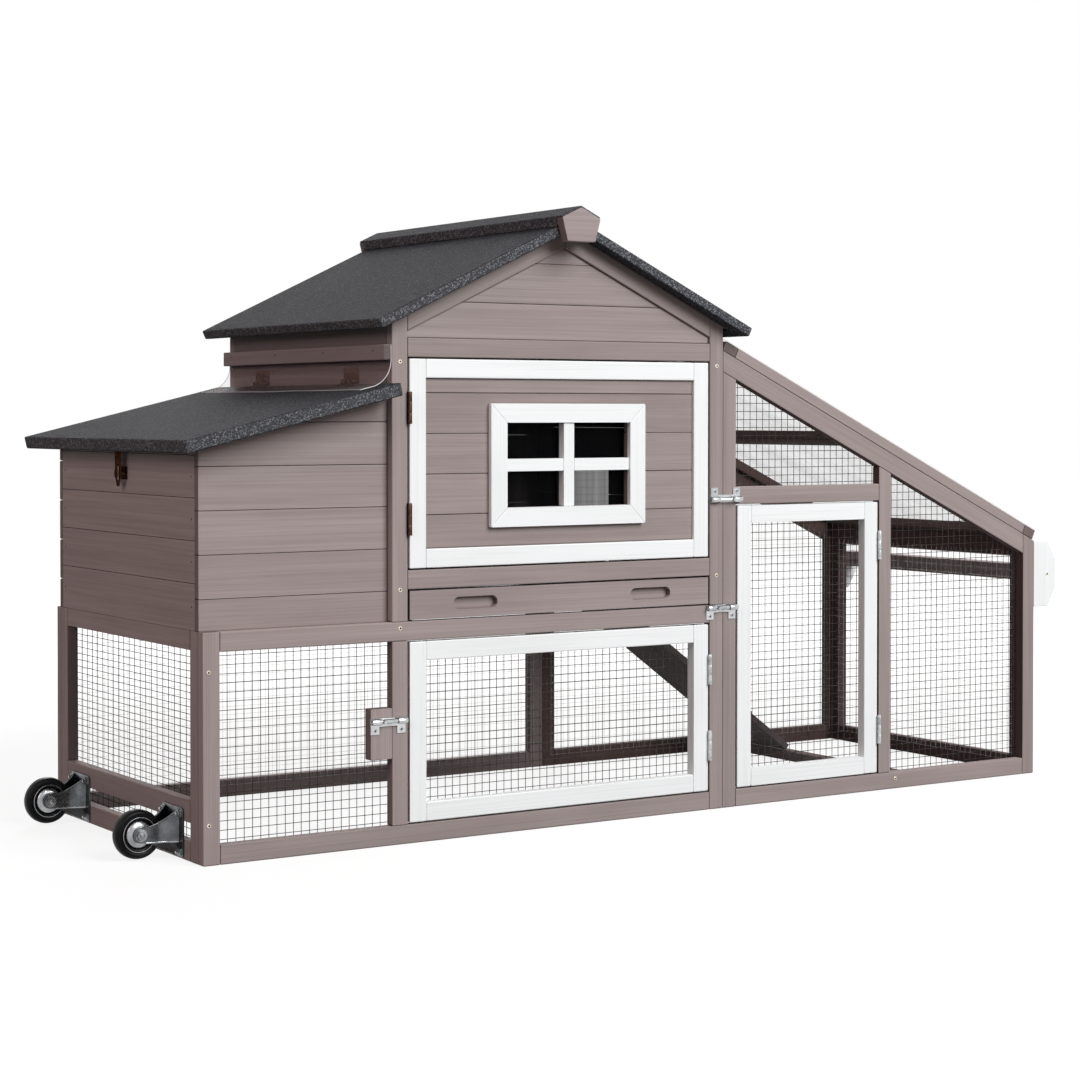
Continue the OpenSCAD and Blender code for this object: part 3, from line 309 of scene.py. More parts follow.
def lay_coats(tree, under, *coats):
    """Lay coats of colour one over another.

    Each coat is a pattern, the low and high of it with how thick the coat lies there, and a
    colour. Where no low and high are given, the pattern itself is the thickness.
    """
    for pattern, stretch, coat in coats:
        share = add(tree, "MapRange", (pattern, *stretch)) if stretch else pattern
        under = add(tree, "Mix", {0: share, 6: under, 7: coat}, 2, data_type="RGBA")
    return under


def grain_noise(tree, along, across, detail, distortion=0.0):
    """Streaks that run with the grain of each board, along by across metres in size."""
    place = add(tree, "Attribute", out="Vector", attribute_name="grain")
    scale = (1 / along, 1 / across, 1 / across)
    return add(tree, "TexNoise", {
        "Vector": add(tree, "Mapping", {"Vector": place, "Scale": scale}),
        "Scale": 1.0, "Detail": detail, "Distortion": distortion,
    })


def stained_softwood(timber):
    """Planed softwood under a thin taupe stain: soft streaks, a few knots, dark sawn ends."""
    material, tree, shader = fresh_material("softwood_thin_stain_planed")
    fibres = grain_noise(tree, timber.streak, timber.fibre, 4.0)
    figure = grain_noise(tree, 4 * timber.streak, 8 * timber.fibre, 2.0, 0.8)
    blotch = grain_noise(tree, *BLOTCH, 3.0)
    tone, sawn, inner = [
        add(tree, "Attribute", out="Fac", attribute_name=name)
        for name in ("tone", "sawn", "inner")
    ]
    place = add(tree, "Attribute", out="Vector", attribute_name="grain")
    scale = (1 / KNOT_GAP[0], 1 / KNOT_GAP[1], 1 / KNOT_GAP[1])
    spaced = add(tree, "Mapping", {"Vector": place, "Scale": scale})
    knots = add(tree, "TexVoronoi", {"Vector": spaced, "Scale": 1.0}, "Distance")
    mixed = lay_coats(
        tree, timber.stain_deep,
        (figure, (0.32, 0.68, 0.25, 0.75), timber.stain),
        (blotch, (0.35, 0.7, 0.0, 0.4), timber.stain),
        (fibres, (0.42, 0.72, 0.0, 0.6), timber.stain_deep),
        (knots, (0.02, 0.04, 0.55, 0.0), timber.knot_and_seam_shade),
        (sawn, (0.0, 1.0, 0.0, 0.75), timber.end_grain),
    )
    # Painted shade: faces that look inside are multiplied by a browner colour.
    mixed = add(
        tree, "Mix", {0: inner, 6: mixed, 7: timber.inner}, 2,
        data_type="RGBA", blend_type="MULTIPLY",
    )
    # Each board's tone differs at random, and is lowered as painted shade on boards that sit in
    # shade.
    mixed = add(tree, "HueSaturation", {"Value": tone, "Color": mixed})
    # Painted shade in the seams: where a neighbouring board lies near, ambient occlusion darkens
    # the colour towards the knot colour.
    seam_shade = add(tree, "AmbientOcclusion", {"Distance": BOARD_SHADE_REACH}, "AO", samples=SEAM_SAMPLES)
    feed(tree, shader, {
        "Base Color": lay_coats(tree, mixed, (seam_shade, (0.25, 0.85, 0.75, 0.0), timber.knot_and_seam_shade)),
        "Roughness": add(tree, "MapRange", (fibres, 0.2, 0.8, 0.62, 0.78)),
        "Specular IOR Level": 0.1,
        "Normal": add(tree, "Bump", {"Strength": 0.4, "Distance": 0.0005, "Height": fibres}),
    })
    return material


def painted_softwood(timber):
    """Brushed white paint on softwood: the grain shows through faintly, with a satin sheen."""
    material, tree, shader = fresh_material("softwood_white_paint_brushed")
    fibres = grain_noise(tree, timber.streak, timber.fibre, 4.0)
    patches = grain_noise(tree, timber.streak, PAINT_PATCH, 2.0)
    mixed = lay_coats(
        tree, timber.paint,
        (fibres, (0.5, 0.85, 0.0, 1.0), timber.paint_thin),
        (patches, (0.45, 0.8, 0.0, 0.5), timber.paint_thin),
    )
    feed(tree, shader, {
        "Base Color": mixed,
        "Roughness": add(tree, "MapRange", (patches, 0.3, 0.7, 0.4, 0.55)),
        "Normal": add(tree, "Bump", {"Strength": 0.35, "Distance": 0.0004, "Height": fibres}),
    })
    return material


def mineral_felt(felt):
    """Bitumen felt with slate granules pressed in: dark fine speckle, pale flecks at the folds,
    steep faces painted lighter.
    """
    material, tree, shader = fresh_material("bitumen_felt_slate_granules")
    place = add(tree, "TexCoord", out="Object")
    # Granules are drawn about twice their real width, or they would be lost between pixels.
    cells = add(tree, "TexVoronoi", {"Vector": place, "Scale": 1 / felt.granule}, "Color")
    pick = add(tree, "SeparateColor", {"Color": cells}).node.outputs
    cloud = add(tree, "TexNoise", {"Vector": place, "Scale": 1 / FELT_CLOUD, "Detail": 5.0})
    up = add(tree, "SeparateXYZ", {"Vector": place.node.outputs["Normal"]}, "Z")
    level = add(tree, "Math", (up,), operation="ABSOLUTE")
    steep_light_and_flecks = add(tree, "MapRange", (level, 0.45, 0.8, 1.0, 0.0))
    # Where the felt is folded down over an edge it cracks open and shows its pale granules.
    fleck = add(tree, "Math", (
        add(tree, "MapRange", (pick["Green"], 0.68, 1.0, 0.0, 0.68)),
        add(tree, "MapRange", (steep_light_and_flecks, 0.0, 1.0, 0.34, 1.0)),
    ), operation="MULTIPLY")
    mixed = lay_coats(
        tree, felt.mineral_dark,
        (pick["Red"], None, felt.mineral),
        (cloud, (0.35, 0.75, 0.0, 0.4), felt.mineral),
        # Painted light: faces near upright are lifted towards the pale granules.
        (steep_light_and_flecks, (0.0, 1.0, 0.0, 0.1), felt.pale_granules_and_light),
        (fleck, None, felt.pale_granules_and_light),
    )
    feed(tree, shader, {
        "Base Color": mixed,
        "Roughness": add(tree, "MapRange", (pick["Blue"], 0.0, 1.0, 0.75, 0.95)),
        "Specular IOR Level": 0.04,
        "Normal": add(tree, "Bump", {
            "Strength": 0.5, "Distance": 0.0008, "Height": cells.node.outputs["Distance"],
        }),
    })
    return material


def plated_metal(name, bright, dull, patch, rough, edge=(1, 1, 1), seam_shade=None):
    """Plated steel: brightness in patches from the bath, a broken sheen, and painted shade in its
    seams.
    """
    material, tree, shader = fresh_material(name)
    place = add(tree, "TexCoord", out="Object")
    cloud = add(tree, "TexNoise", {
        "Vector": place, "Scale": 1 / patch, "Detail": 5.0, "Roughness": 0.6,
    })
    scuff = add(tree, "TexNoise", {"Vector": place, "Scale": 6 / patch, "Detail": 3.0})
    mixed = lay_coats(tree, dull, (cloud, (0.3, 0.72, 0.0, 1.0), bright))
    # Painted shade where fittings meet: ambient occlusion darkens the colour there.
    if seam_shade is not None:
        seam_occlusion = add(tree, "AmbientOcclusion", {"Distance": METAL_SHADE_REACH}, "AO", samples=SEAM_SAMPLES)
        mixed = lay_coats(tree, mixed, (seam_occlusion, (0.25, 0.8, 0.85, 0.0), seam_shade))
    feed(tree, shader, {
        "Base Color": mixed,
        "Roughness": add(tree, "MapRange", (scuff, 0.25, 0.75, rough + 0.1, rough - 0.08)),
        "Metallic": 1.0,
        "Specular Tint": edge,
        "Normal": add(tree, "Bump", {"Strength": 0.2, "Distance": 0.0003, "Height": scuff}),
    })
    return material


def tyre_rubber(fitting):
    """Moulded black rubber with a little dust: nearly black, satin, faintly mottled."""
    material, tree, shader = fresh_material("rubber_moulded_dusty")
    place = add(tree, "TexCoord", out="Object")
    dust = add(tree, "TexNoise", {"Vector": place, "Scale": 1 / RUBBER_DUST, "Detail": 5.0})
    feed(tree, shader, {
        "Base Color": lay_coats(
            tree, fitting.rubber, (dust, (0.5, 0.8, 0.0, 0.6), fitting.rubber_dust),
        ),
        "Roughness": add(tree, "MapRange", (dust, 0.3, 0.8, 0.3, 0.55)),
        "Specular IOR Level": 0.1,
    })
    return material


def nail_black_and_recess_shade(fitting):
    """Painted shade in a screw recess, and the black of a nail head: dark, dull, patchy."""
    material, tree, shader = fresh_material("steel_blackened_dirty")
    place = add(tree, "TexCoord", out="Object")
    blotches = add(tree, "TexNoise", {"Vector": place, "Scale": 1 / RECESS_BLOTCH, "Detail": 2.0})
    feed(tree, shader, {
        "Base Color": lay_coats(
            tree, fitting.nail_black_and_shade, (blotches, (0.4, 0.7, 0.0, 1.0), fitting.dust_and_shade),
        ),
        "Roughness": add(tree, "MapRange", (blotches, 0.3, 0.7, 0.6, 0.85)),
    })
    return material


def clear_plastic(name, tint, veil, rough, streak, gloss=0.5):
    """Thin plastic sheet: see-through, with sharp gloss and a veil in streaks: dust on the flap
    and roof sheet, painted shade on the window pane, a painted highlight on the flap's cut edge.
    """
    material, tree, shader = fresh_material(name)
    place = add(tree, "TexCoord", out="Object")
    scale = tuple(1 / size for size in streak)
    bloom = add(tree, "TexNoise", {
        "Vector": add(tree, "Mapping", {"Vector": place, "Scale": scale}),
        "Scale": 1.0, "Detail": 4.0,
    })
    feed(tree, shader, {
        "Base Color": tint,
        "IOR": PLASTIC_IOR,
        "Specular IOR Level": gloss,
        "Alpha": add(tree, "MapRange", (bloom, 0.35, 0.7, *veil)),
        "Roughness": add(tree, "MapRange", (bloom, 0.35, 0.75, *rough)),
    })
    return material


def islands(mesh):
    """For each vertex, the number of the separate solid that it belongs to."""
    places = np.array([v.co for v in mesh.vertices], float).reshape(-1, 3)
    _, ids = np.unique(np.round(places * 1e5).astype(int), axis=0, return_inverse=True)
    ids = ids.ravel()
    parent = list(range(int(ids.max()) + 1))

    def root(i):
        while parent[i] != i:
            parent[i] = parent[parent[i]]
            i = parent[i]
        return i

    for face in mesh.polygons:
        first = root(int(ids[face.vertices[0]]))
        for corner in face.vertices[1:]:
            parent[root(int(ids[corner]))] = first
    return places, np.array([root(int(i)) for i in ids])


def board_directions():
    """Unit vectors that the boards of this house run along."""
    found = [Vector((1, 0, 0)), Vector((0, 1, 0)), Vector((0, 0, 1))]
    for degrees in (ROOF_PITCH, RUN_PITCH, LID_PITCH, RAMP_PITCH):
        for turn in (degrees, -degrees):
            found.append(Matrix.Rotation(math.radians(turn), 3, "Y") @ Vector((1, 0, 0)))
    return np.array(found)


# Cosines beyond which a board runs along a known slope, a face is a sawn end, or looks some way.
ON_SLOPE, SAWN_END, FACING = 0.95, 0.85, 0.7
# Spread of the boards' tones, and how far apart, in metres, their grain is taken from.
TONES, GRAIN_SHIFT = (0.94, 1.05), 4
# In metres: depth of a frame's outer skin, and where its low rails at the back and the end begin.
SKIN, LOW_Z, BACK_Y, END_X = 0.025, 0.4, 0.2, 0.5


def looks_inside(face, low, high):
    """Whether a face of a frame with these corners looks into the house or the run."""
    spot, way = face.center, face.normal
    if way.z > FACING:
        # Of the faces that look up, only the low rails at the back and the run's end are inside.
        far = spot.y > BACK_Y or spot.x > END_X
        return far and spot.z < LOW_Z and spot.y > -BACK_Y
    for axis in (0, 1):
        if way[axis] > FACING and spot[axis] > high[axis] - SKIN:
            return False
        if way[axis] < -FACING and spot[axis] < low[axis] + SKIN:
            return False
    return True


def lay_grain(obj, seed, depth=1.0, coat=0.0):
    """Give each board its grain, tone and sawn ends; depth lowers the tone and coat browns inside
    faces, as painted shade.
    """
    places, owner = islands(obj.data)
    rng = random.Random(seed)
    grain, tone = np.zeros_like(places), np.zeros(len(places))
    known, runs = board_directions(), {}
    for board in sorted(set(owner)):
        mine = owner == board
        points = places[mine]
        centre = (points.max(0) + points.min(0)) / 2
        _, axes = np.linalg.eigh(np.cov((points - centre).T))
        along = axes[:, 2]
        match = known @ along
        best = int(np.argmax(np.abs(match)))
        if abs(match[best]) > ON_SLOPE:
            along = known[best]
        thin = axes[:, 0] - along * float(axes[:, 0] @ along)
        thin = thin / np.linalg.norm(thin)
        across = np.cross(thin, along)
        shift = np.array([rng.uniform(-GRAIN_SHIFT, GRAIN_SHIFT) for _ in range(3)])
        grain[mine] = (points - centre) @ np.array([along, across, thin]).T + shift
        # A random tone, times how much lightness the painted shade leaves.
        tone[mine] = depth * rng.uniform(*TONES)
        runs[board] = Vector(along)
    low, high = places.min(0), places.max(0)
    faces = obj.data.polygons
    sawn = [float(abs(f.normal @ runs[owner[f.vertices[0]]]) > SAWN_END) for f in faces]
    # Painted shade on faces that look into the house or the run.
    inner = [coat * looks_inside(f, low, high) for f in faces]
    for name, kind, domain, field, values in (
        ("grain", "FLOAT_VECTOR", "POINT", "vector", grain.astype(np.float32).ravel()),
        ("tone", "FLOAT", "POINT", "value", tone.astype(np.float32)),
        ("sawn", "FLOAT", "FACE", "value", sawn),
        ("inner", "FLOAT", "FACE", "value", inner),
    ):
        obj.data.attributes.new(name, kind, domain).data.foreach_set(field, values)


def dress(obj, material):
    """Put one material on a mesh."""
    obj.data.materials.clear()
    obj.data.materials.append(material)


# Corners of the space behind the nest lid that its hinges fill, in the yard frame's millimetres.
NEST_HINGES = ((300, 0, 700), (323, 580, 760))


def dress_nest_hinges(obj, material):
    """Put a second material on the leaves and pins behind the nest lid."""
    obj.data.materials.append(material)
    low, high = (yard(*corner) for corner in NEST_HINGES)
    for face in obj.data.polygons:
        if low.x < face.center.x < high.x and low.z < face.center.z < high.z:
            face.material_index = 1


def ease_edges(obj, width, segments=2):
    """Join the split corners of a node and round its edges."""
    weld = obj.modifiers.new("Join corners", "WELD")
    weld.merge_threshold = SAME_CORNER
    bevel = obj.modifiers.new("Eased edges", "BEVEL")
    bevel.width = width
    bevel.segments = segments
    bevel.limit_method = "ANGLE"
    bevel.angle_limit = math.radians(EASED_ANGLE)
    bevel.use_clamp_overlap = True


class Bench:
    """Gathers shapes that become one piece: points, faces and which material each face has."""

    def __init__(self):
        self.points, self.faces, self.finishes = [], [], []

    def take(self, shape, finish=0):
        """Add the points and faces of one shape."""
        points, faces = shape
        base = len(self.points)
        self.points += points
        self.faces += [tuple(base + i for i in face) for face in faces]
        self.finishes += [finish] * len(faces)

    def piece(self, name, materials, smooth=None):
        """Make the object, faces outward; smooth rounds corners below that many degrees."""
        mesh = bpy.data.meshes.new(name)
        mesh.from_pydata([tuple(p) for p in self.points], [], self.faces)
        mesh.polygons.foreach_set("material_index", self.finishes)
        work = bmesh.new()
        work.from_mesh(mesh)
        bmesh.ops.recalc_face_normals(work, faces=work.faces)
        work.to_mesh(mesh)
        work.free()
        if smooth:
            mesh.shade_smooth()
            mesh.set_sharp_from_angle(angle=math.radians(smooth))
        for material in materials:
            mesh.materials.append(material)
        obj = bpy.data.objects.new(name, mesh)
        bpy.context.scene.collection.objects.link(obj)
        return obj


def stand_in(obj, node):
    """Let a piece take the place of a node, on the same body."""
    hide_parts(node)
    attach(obj, FRAME["nodes"][node]["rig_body"])


def prism(outline, low, high, place):
    """A flat plate: its outline at two depths, put where place(u, v, depth) says."""
    count = len(outline)
    points = [place(u, v, depth) for depth in (low, high) for u, v in outline]
    faces = [tuple(range(count)), tuple(range(2 * count - 1, count - 1, -1))]
    for i in range(count):
        j = (i + 1) % count
        faces.append((i, j, count + j, count + i))
    return points, faces


def turned(profile, place, flats):
    """A turned ring: a closed profile of (radius, along) pairs, put by place(u, v, along)."""
    count, points, faces = len(profile), [], []
    for k in range(flats):
        angle = 2 * math.pi * k / flats
        for radius, along in profile:
            points.append(place(radius * math.cos(angle), radius * math.sin(angle), along))
    for k in range(flats):
        n = (k + 1) % flats
        for i in range(count):
            j = (i + 1) % count
            faces.append((k * count + i, k * count + j, n * count + j, n * count + i))
    return points, faces


def tube(path, gauge, sides):
    """A round wire along a path of points."""
    points, faces = [], []
    for i, spot in enumerate(path):
        ahead = path[min(i + 1, len(path) - 1)] - path[max(i - 1, 0)]
        turn = ahead.to_track_quat("Z", "Y")
        for k in range(sides):
            angle = 2 * math.pi * (k + 0.5) / sides
            rim = Vector((math.cos(angle), math.sin(angle), 0)) * (gauge / 2)
            points.append(spot + turn @ rim)
    for i in range(len(path) - 1):
        for k in range(sides):
            n = (k + 1) % sides
            a, b = i * sides, (i + 1) * sides
            faces.append((a + k, a + n, b + n, b + k))
    last = (len(path) - 1) * sides
    faces.append(tuple(reversed(range(sides))))
    faces.append(tuple(last + k for k in range(sides)))
    return points, faces


def outward(spot, out):
    """A place() that stands shapes on a spot: u and v across, depth along the way out."""
    turn = out.to_track_quat("Z", "Y")
    return lambda u, v, depth: spot + turn @ Vector((u, v, depth))


# Rings of a screw head, as shares of its radius and height: three up the dome, two in the cross.
DOME_RINGS = ((1.0, 0.0), (0.94, 0.6), (0.78, 1.0))
CROSS_RINGS = ((1.0, 1.0), (0.9, 0.1))
# Reach of the cross between its arms, and how much further the arms go.
CROSS_WAIST, CROSS_ARM = 0.42, 0.2


def screw_head(bench, spot, out, radius, height):
    """A raised head with a cross recess; the recess takes the second finish, which paints its
    shade.
    """
    place, flats = outward(spot, out), 32
    angles = [2 * math.pi * k / flats for k in range(flats)]
    cross = [CROSS_WAIST + CROSS_ARM * max(0.0, math.cos(4 * a)) ** 0.5 for a in angles]
    rings = []
    for outline, levels in (([1.0] * flats, DOME_RINGS), (cross, CROSS_RINGS)):
        for share, rise in levels:
            reaches = [reach * (radius * share) for reach in outline]
            rings.append([
                place(reach * math.cos(a), reach * math.sin(a), rise * height)
                for reach, a in zip(reaches, angles)
            ])
    for finish, low in ((0, 0), (0, 1), (0, 2), (1, 3)):
        points = rings[low] + rings[low + 1]
        faces = []
        for k in range(flats):
            n = (k + 1) % flats
            faces.append((k, n, flats + n, flats + k))
        bench.take((points, faces), finish)
    bench.take((rings[4], [tuple(range(flats))]), finish=1)
    bench.take((rings[0], [tuple(reversed(range(flats)))]))


def hexagon(radius):
    """Corners of a nut or bolt head."""
    return [
        (radius * math.cos(math.pi * k / 3), radius * math.sin(math.pi * k / 3)) for k in range(6)
    ]


def rounded(half_u, half_v, radius, steps=6):
    """Outline of a plate with rounded corners."""
    outline = []
    for quarter, (su, sv) in enumerate(((1, 1), (-1, 1), (-1, -1), (1, -1))):
        for k in range(steps + 1):
            angle = math.pi / 2 * (quarter + k / steps)
            outline.append((
                su * (half_u - radius) + radius * math.cos(angle),
                sv * (half_v - radius) + radius * math.sin(angle),
            ))
    return outline


# Nets, in the yard frame's millimetres: their planes on the four sides, feet, and the ends' start.
NET_FRONT, NET_BACK, NET_LEFT, NET_RIGHT = 18.2, 561.8, 18.2, 1681.8
NET_FOOT, DOOR_FOOT, END_START = 20, 52.5, 36.5
# Where the run's net meets the upper end of its sloping rail.
RAIL_X, RAIL_Z = 968, 754.0
# Wires of the left end, across and up, and how far any wire strays from its place, in metres.
END_PITCH, STRAY = (0.0218, 0.0109), 0.0003


class NetPanel:
    """One flat piece of net: corner, directions, width, height at both ends, zinc and pitch."""

    def __init__(
        self, corner, across, up, inward, width, left, right=None, bright=False, pitch=None,
    ):
        self.corner, self.across, self.up, self.inward = corner, across, up, inward
        self.width, self.left, self.bright, self.pitch = width, left, bright, pitch
        self.right = left if right is None else right

    def height(self, u):
        """Height of the panel at a distance along it."""
        return self.left + (self.right - self.left) * u / self.width

    def reach(self, v):
        """How far a level wire at a height runs."""
        if v <= min(self.left, self.right) or self.left == self.right:
            return self.width
        return self.width * (self.left - v) / (self.left - self.right)

    def at(self, u, v, depth):
        """A point of the panel."""
        return self.corner + self.across * u + self.up * v + self.inward * depth


def wires(panel, net, rng):
    """End points of each wire: level ones on the outer layer, upright ones behind them."""
    made = []
    half = net.gauge / 2
    across, up = panel.pitch or (net.pitch, net.pitch)
    for i in range(int(max(panel.left, panel.right) / up) + 1):
        v = i * up + half + rng.uniform(-1, 1) * STRAY
        far = panel.reach(v)
        if far > across:
            made.append((panel.at(0, v, half), panel.at(far, v, half)))
    for i in range(int(panel.width / across) + 1):
        u = i * across + half + rng.uniform(-1, 1) * STRAY
        top = panel.height(u)
        if top > up:
            made.append((panel.at(u, 0, 3 * half), panel.at(u, top, 3 * half)))
    return made


def net_panels():
    """The panels of net, by the node that they stand for."""
    x, y, z = Vector((1, 0, 0)), Vector((0, 1, 0)), Vector((0, 0, 1))
    slope = math.radians(RUN_PITCH)

    def under_rail(at):
        """Height that the net of the run reaches, behind its sloping top rail."""
        return RAIL_Z - (at - RAIL_X) * math.tan(slope)

    def run_side(x0, x1, z0, depth, inward, bright=False):
        """A panel of the run under the sloping rail."""
        return NetPanel(
            yard(x0, depth, z0), x, z, inward, (x1 - x0) / 1000,
            (under_rail(x0) - z0) / 1000, (under_rail(x1) - z0) / 1000, bright,
        )

    return {
        "lower_mesh": (
            NetPanel(yard(21, NET_FRONT, NET_FOOT), x, z, y, width=0.311, left=0.308),
            NetPanel(
                yard(NET_LEFT, END_START, NET_FOOT), y, z, x, width=0.507, left=0.308,
                pitch=END_PITCH,
            ),
            NetPanel(
                yard(21, NET_BACK, NET_FOOT), x, z, -y, width=0.929, left=0.308, bright=True,
            ),
        ),
        "run_mesh": (
            run_side(1336, 1679, NET_FOOT, NET_FRONT, y),
            run_side(986, 1328, 538, NET_FRONT, y),
            run_side(986, 1679, NET_FOOT, NET_BACK, -y, bright=True),
            NetPanel(
                yard(NET_RIGHT, END_START, NET_FOOT), y, z, -x, width=0.507, left=0.395,
                bright=True,
            ),
        ),
        "lower_door_mesh": (
            NetPanel(yard(373.5, NET_FRONT, DOOR_FOOT), x, z, y, width=0.543, left=0.243),
        ),
        "run_door_mesh": (
            NetPanel(yard(1019.5, NET_FRONT, DOOR_FOOT), x, z, y, width=0.275, left=0.443),
        ),
    }


class POULTRY_OT_stained_boards(bpy.types.Operator):
    """Stain the boards, posts and rails, each with its own grain"""

    bl_idname = "poultry.stained_boards"
    bl_label = "Stained Boards"

    def execute(self, context):
        timber = settings(context).timber
        material = stained_softwood(timber)
        for number, node in enumerate(STAINED_NODES):
            obj = FRAME["nodes"][node]
            # Painted shade: a darker tone on boards in shade, and a browner colour on faces that
            # look inside.
            depth, coat = PAINTED_SHADE_BOARDS.get(node, 1.0), INSIDE_SHADE_FRAMES.get(node, 0.0)
            lay_grain(obj, STAIN_SEED + number, depth, coat)
            dress(obj, material)
            ease_edges(obj, timber.ease)
        return {"FINISHED"}


class POULTRY_OT_painted_doors(bpy.types.Operator):
    """Paint the door frames, window trim and handle plates white"""

    bl_idname = "poultry.painted_doors"
    bl_label = "Painted Doors"

    def execute(self, context):
        timber = settings(context).timber
        material = painted_softwood(timber)
        for number, node in enumerate(PAINTED_NODES):
            obj = FRAME["nodes"][node]
            lay_grain(obj, PAINT_SEED + number)
            dress(obj, material)
            ease_edges(obj, timber.ease)
        return {"FINISHED"}


class POULTRY_OT_roof_felt(bpy.types.Operator):
    """Cover the roof, its ridge and the nest lid with mineral felt"""

    bl_idname = "poultry.roof_felt"
    bl_label = "Roof Felt"

    def execute(self, context):
        felt = settings(context).felt
        material = mineral_felt(felt)
        for node in FELT_NODES:
            obj = FRAME["nodes"][node]
            dress(obj, material)
            ease_edges(obj, felt.ease, segments=3)
        return {"FINISHED"}


# Nails: how far from a board's end, their places along the batten, and above its middle.
NAIL_INSET, BATTEN_NAILS, BATTEN_RISE = 0.012, (0.06, 0.35, 0.65, 0.94), 0.003
# An end board of the nest is longer than this, and this near to the nest's end.
END_BOARD, END_NEAR = 0.3, 0.01


class POULTRY_OT_board_nails(bpy.types.Operator):
    """Drive nails through the nest's end boards and the batten over its lid"""

    bl_idname = "poultry.board_nails"
    bl_label = "Board Nails"

    def execute(self, context):
        groups = settings(context)
        material, bench = nail_black_and_recess_shade(groups.fitting), Bench()
        places, owner = islands(FRAME["nodes"]["nest_wall_boards"].data)
        face, spots = places[:, 0].min(), []
        for board in sorted(set(owner)):
            low, high = places[owner == board].min(0), places[owner == board].max(0)
            if high[1] - low[1] > END_BOARD and low[0] < face + END_NEAR:
                middle = (low[2] + high[2]) / 2
                for y in (low[1] + NAIL_INSET, high[1] - NAIL_INSET):
                    spots.append(Vector((low[0], y, middle)))
        low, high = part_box("flap_batten")
        for share in BATTEN_NAILS:
            along = low.y + (high.y - low.y) * share
            spots.append(Vector((low.x, along, (low.z + high.z) / 2 + BATTEN_RISE)))
        if not spots:
            raise RuntimeError("no end boards to nail")
        radius = groups.timber.nail / 2
        # A nail head stands 0.2 mm proud and is let 1 mm into the board.
        profile = [
            (1e-5, -1e-3), (radius, -1e-3), (radius, 1e-4), (0.6 * radius, 2e-4), (1e-5, 2e-4),
        ]
        for spot in spots:
            bench.take(turned(profile, outward(spot, Vector((-1, 0, 0))), flats=16))
        obj = bench.piece("board_nails", [material], smooth=40)
        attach(obj, "frame")
        return {"FINISHED"}


class POULTRY_OT_wire_net(bpy.types.Operator):
    """Weave the welded wire net into the lower frame, the run and the doors"""

    bl_idname = "poultry.wire_net"
    bl_label = "Wire Net"

    def execute(self, context):
        net = settings(context).net
        materials = [
            plated_metal(
                "steel_wire_galvanised_weathered", net.steel_pale, net.steel,
                patch=0.03, rough=0.5, edge=net.steel_pale,
            ),
            plated_metal(
                "steel_wire_galvanised_bright", net.zinc_pale, net.zinc, patch=0.03, rough=0.45,
            ),
        ]
        rng = random.Random(NET_SEED)
        for node, panels in net_panels().items():
            bench = Bench()
            for panel in panels:
                gauge = net.gauge_fine if panel.bright else net.gauge
                for ends in wires(panel, net, rng):
                    bench.take(tube(ends, gauge, net.sides), int(panel.bright))
            stand_in(bench.piece(node + "_welded", materials), node)
        return {"FINISHED"}


# Rain flap, in the yard frame's millimetres: its bend, its straight ends, its sides and its waves.
FLAP_MIDDLE, FLAP_RADIUS, FLAP_STEPS = (278.17, 756.0), 43.23, 24
FLAP_TOP, FLAP_TAIL = (780.0, 772.0, 764.0), (5.5, 11.0, 16.5, 22.0)
FLAP_SIDE, FLAP_WIDTH, FLAP_ROWS, FLAP_WAVES = 2.0, 576.0, 73, (41.0, 97.0)


def flap_path():
    """Middle of the rain flap from its top edge to its tail: X and Z in the yard frame's mm."""
    path = [(FLAP_MIDDLE[0] + FLAP_RADIUS, z) for z in FLAP_TOP]
    for k in range(FLAP_STEPS + 1):
        turn = math.radians(90 - LID_PITCH) * k / FLAP_STEPS
        path.append((
            FLAP_MIDDLE[0] + FLAP_RADIUS * math.cos(turn),
            FLAP_MIDDLE[1] - FLAP_RADIUS * math.sin(turn),
        ))
    last, tail = path[-1], math.radians(LID_PITCH)
    for reach in FLAP_TAIL:
        path.append((last[0] - reach * math.cos(tail), last[1] - reach * math.sin(tail)))
    return path


def flap_shape(sheet):
    """The rain flap: a thin sheet bent from the batten down on to the lid, its edge waving."""
    path, rows = flap_path(), FLAP_ROWS
    count, held = len(path), len(FLAP_TOP)
    grid = []
    for row in range(rows):
        y = FLAP_SIDE + FLAP_WIDTH * row / (rows - 1)
        line = []
        for i, (px, pz) in enumerate(path):
            before, after = path[max(i - 1, 0)], path[min(i + 1, count - 1)]
            run = Vector((after[0] - before[0], 0, after[1] - before[1])).normalized()
            normal = Vector((run.z, 0, -run.x))
            free = max(0.0, (i - held) / (count - 1 - held))
            wave = 0.5 + 0.5 * math.sin(y / FLAP_WAVES[0]) * math.cos(y / FLAP_WAVES[1])
            lift = normal * (sheet.flap_wave * free * free * wave)
            line.append((yard(px, y, pz) + lift, normal * (sheet.flap_thick / 2)))
        grid.append(line)
    points = [spot + half for line in grid for spot, half in line]
    points += [spot - half for line in grid for spot, half in line]
    under, faces = rows * count, []
    for row in range(rows - 1):
        for i in range(count - 1):
            a = row * count + i
            quad = (a, a + 1, a + count + 1, a + count)
            faces.append(quad)
            faces.append(tuple(under + k for k in reversed(quad)))
    rim = [row * count for row in range(rows)]
    rim += [(rows - 1) * count + i for i in range(1, count)]
    rim += [row * count + count - 1 for row in reversed(range(rows - 1))]
    rim += list(reversed(range(1, count - 1)))
    edges = [(a, b, under + b, under + a) for a, b in zip(rim, rim[1:] + rim[:1])]
    return points, faces, edges


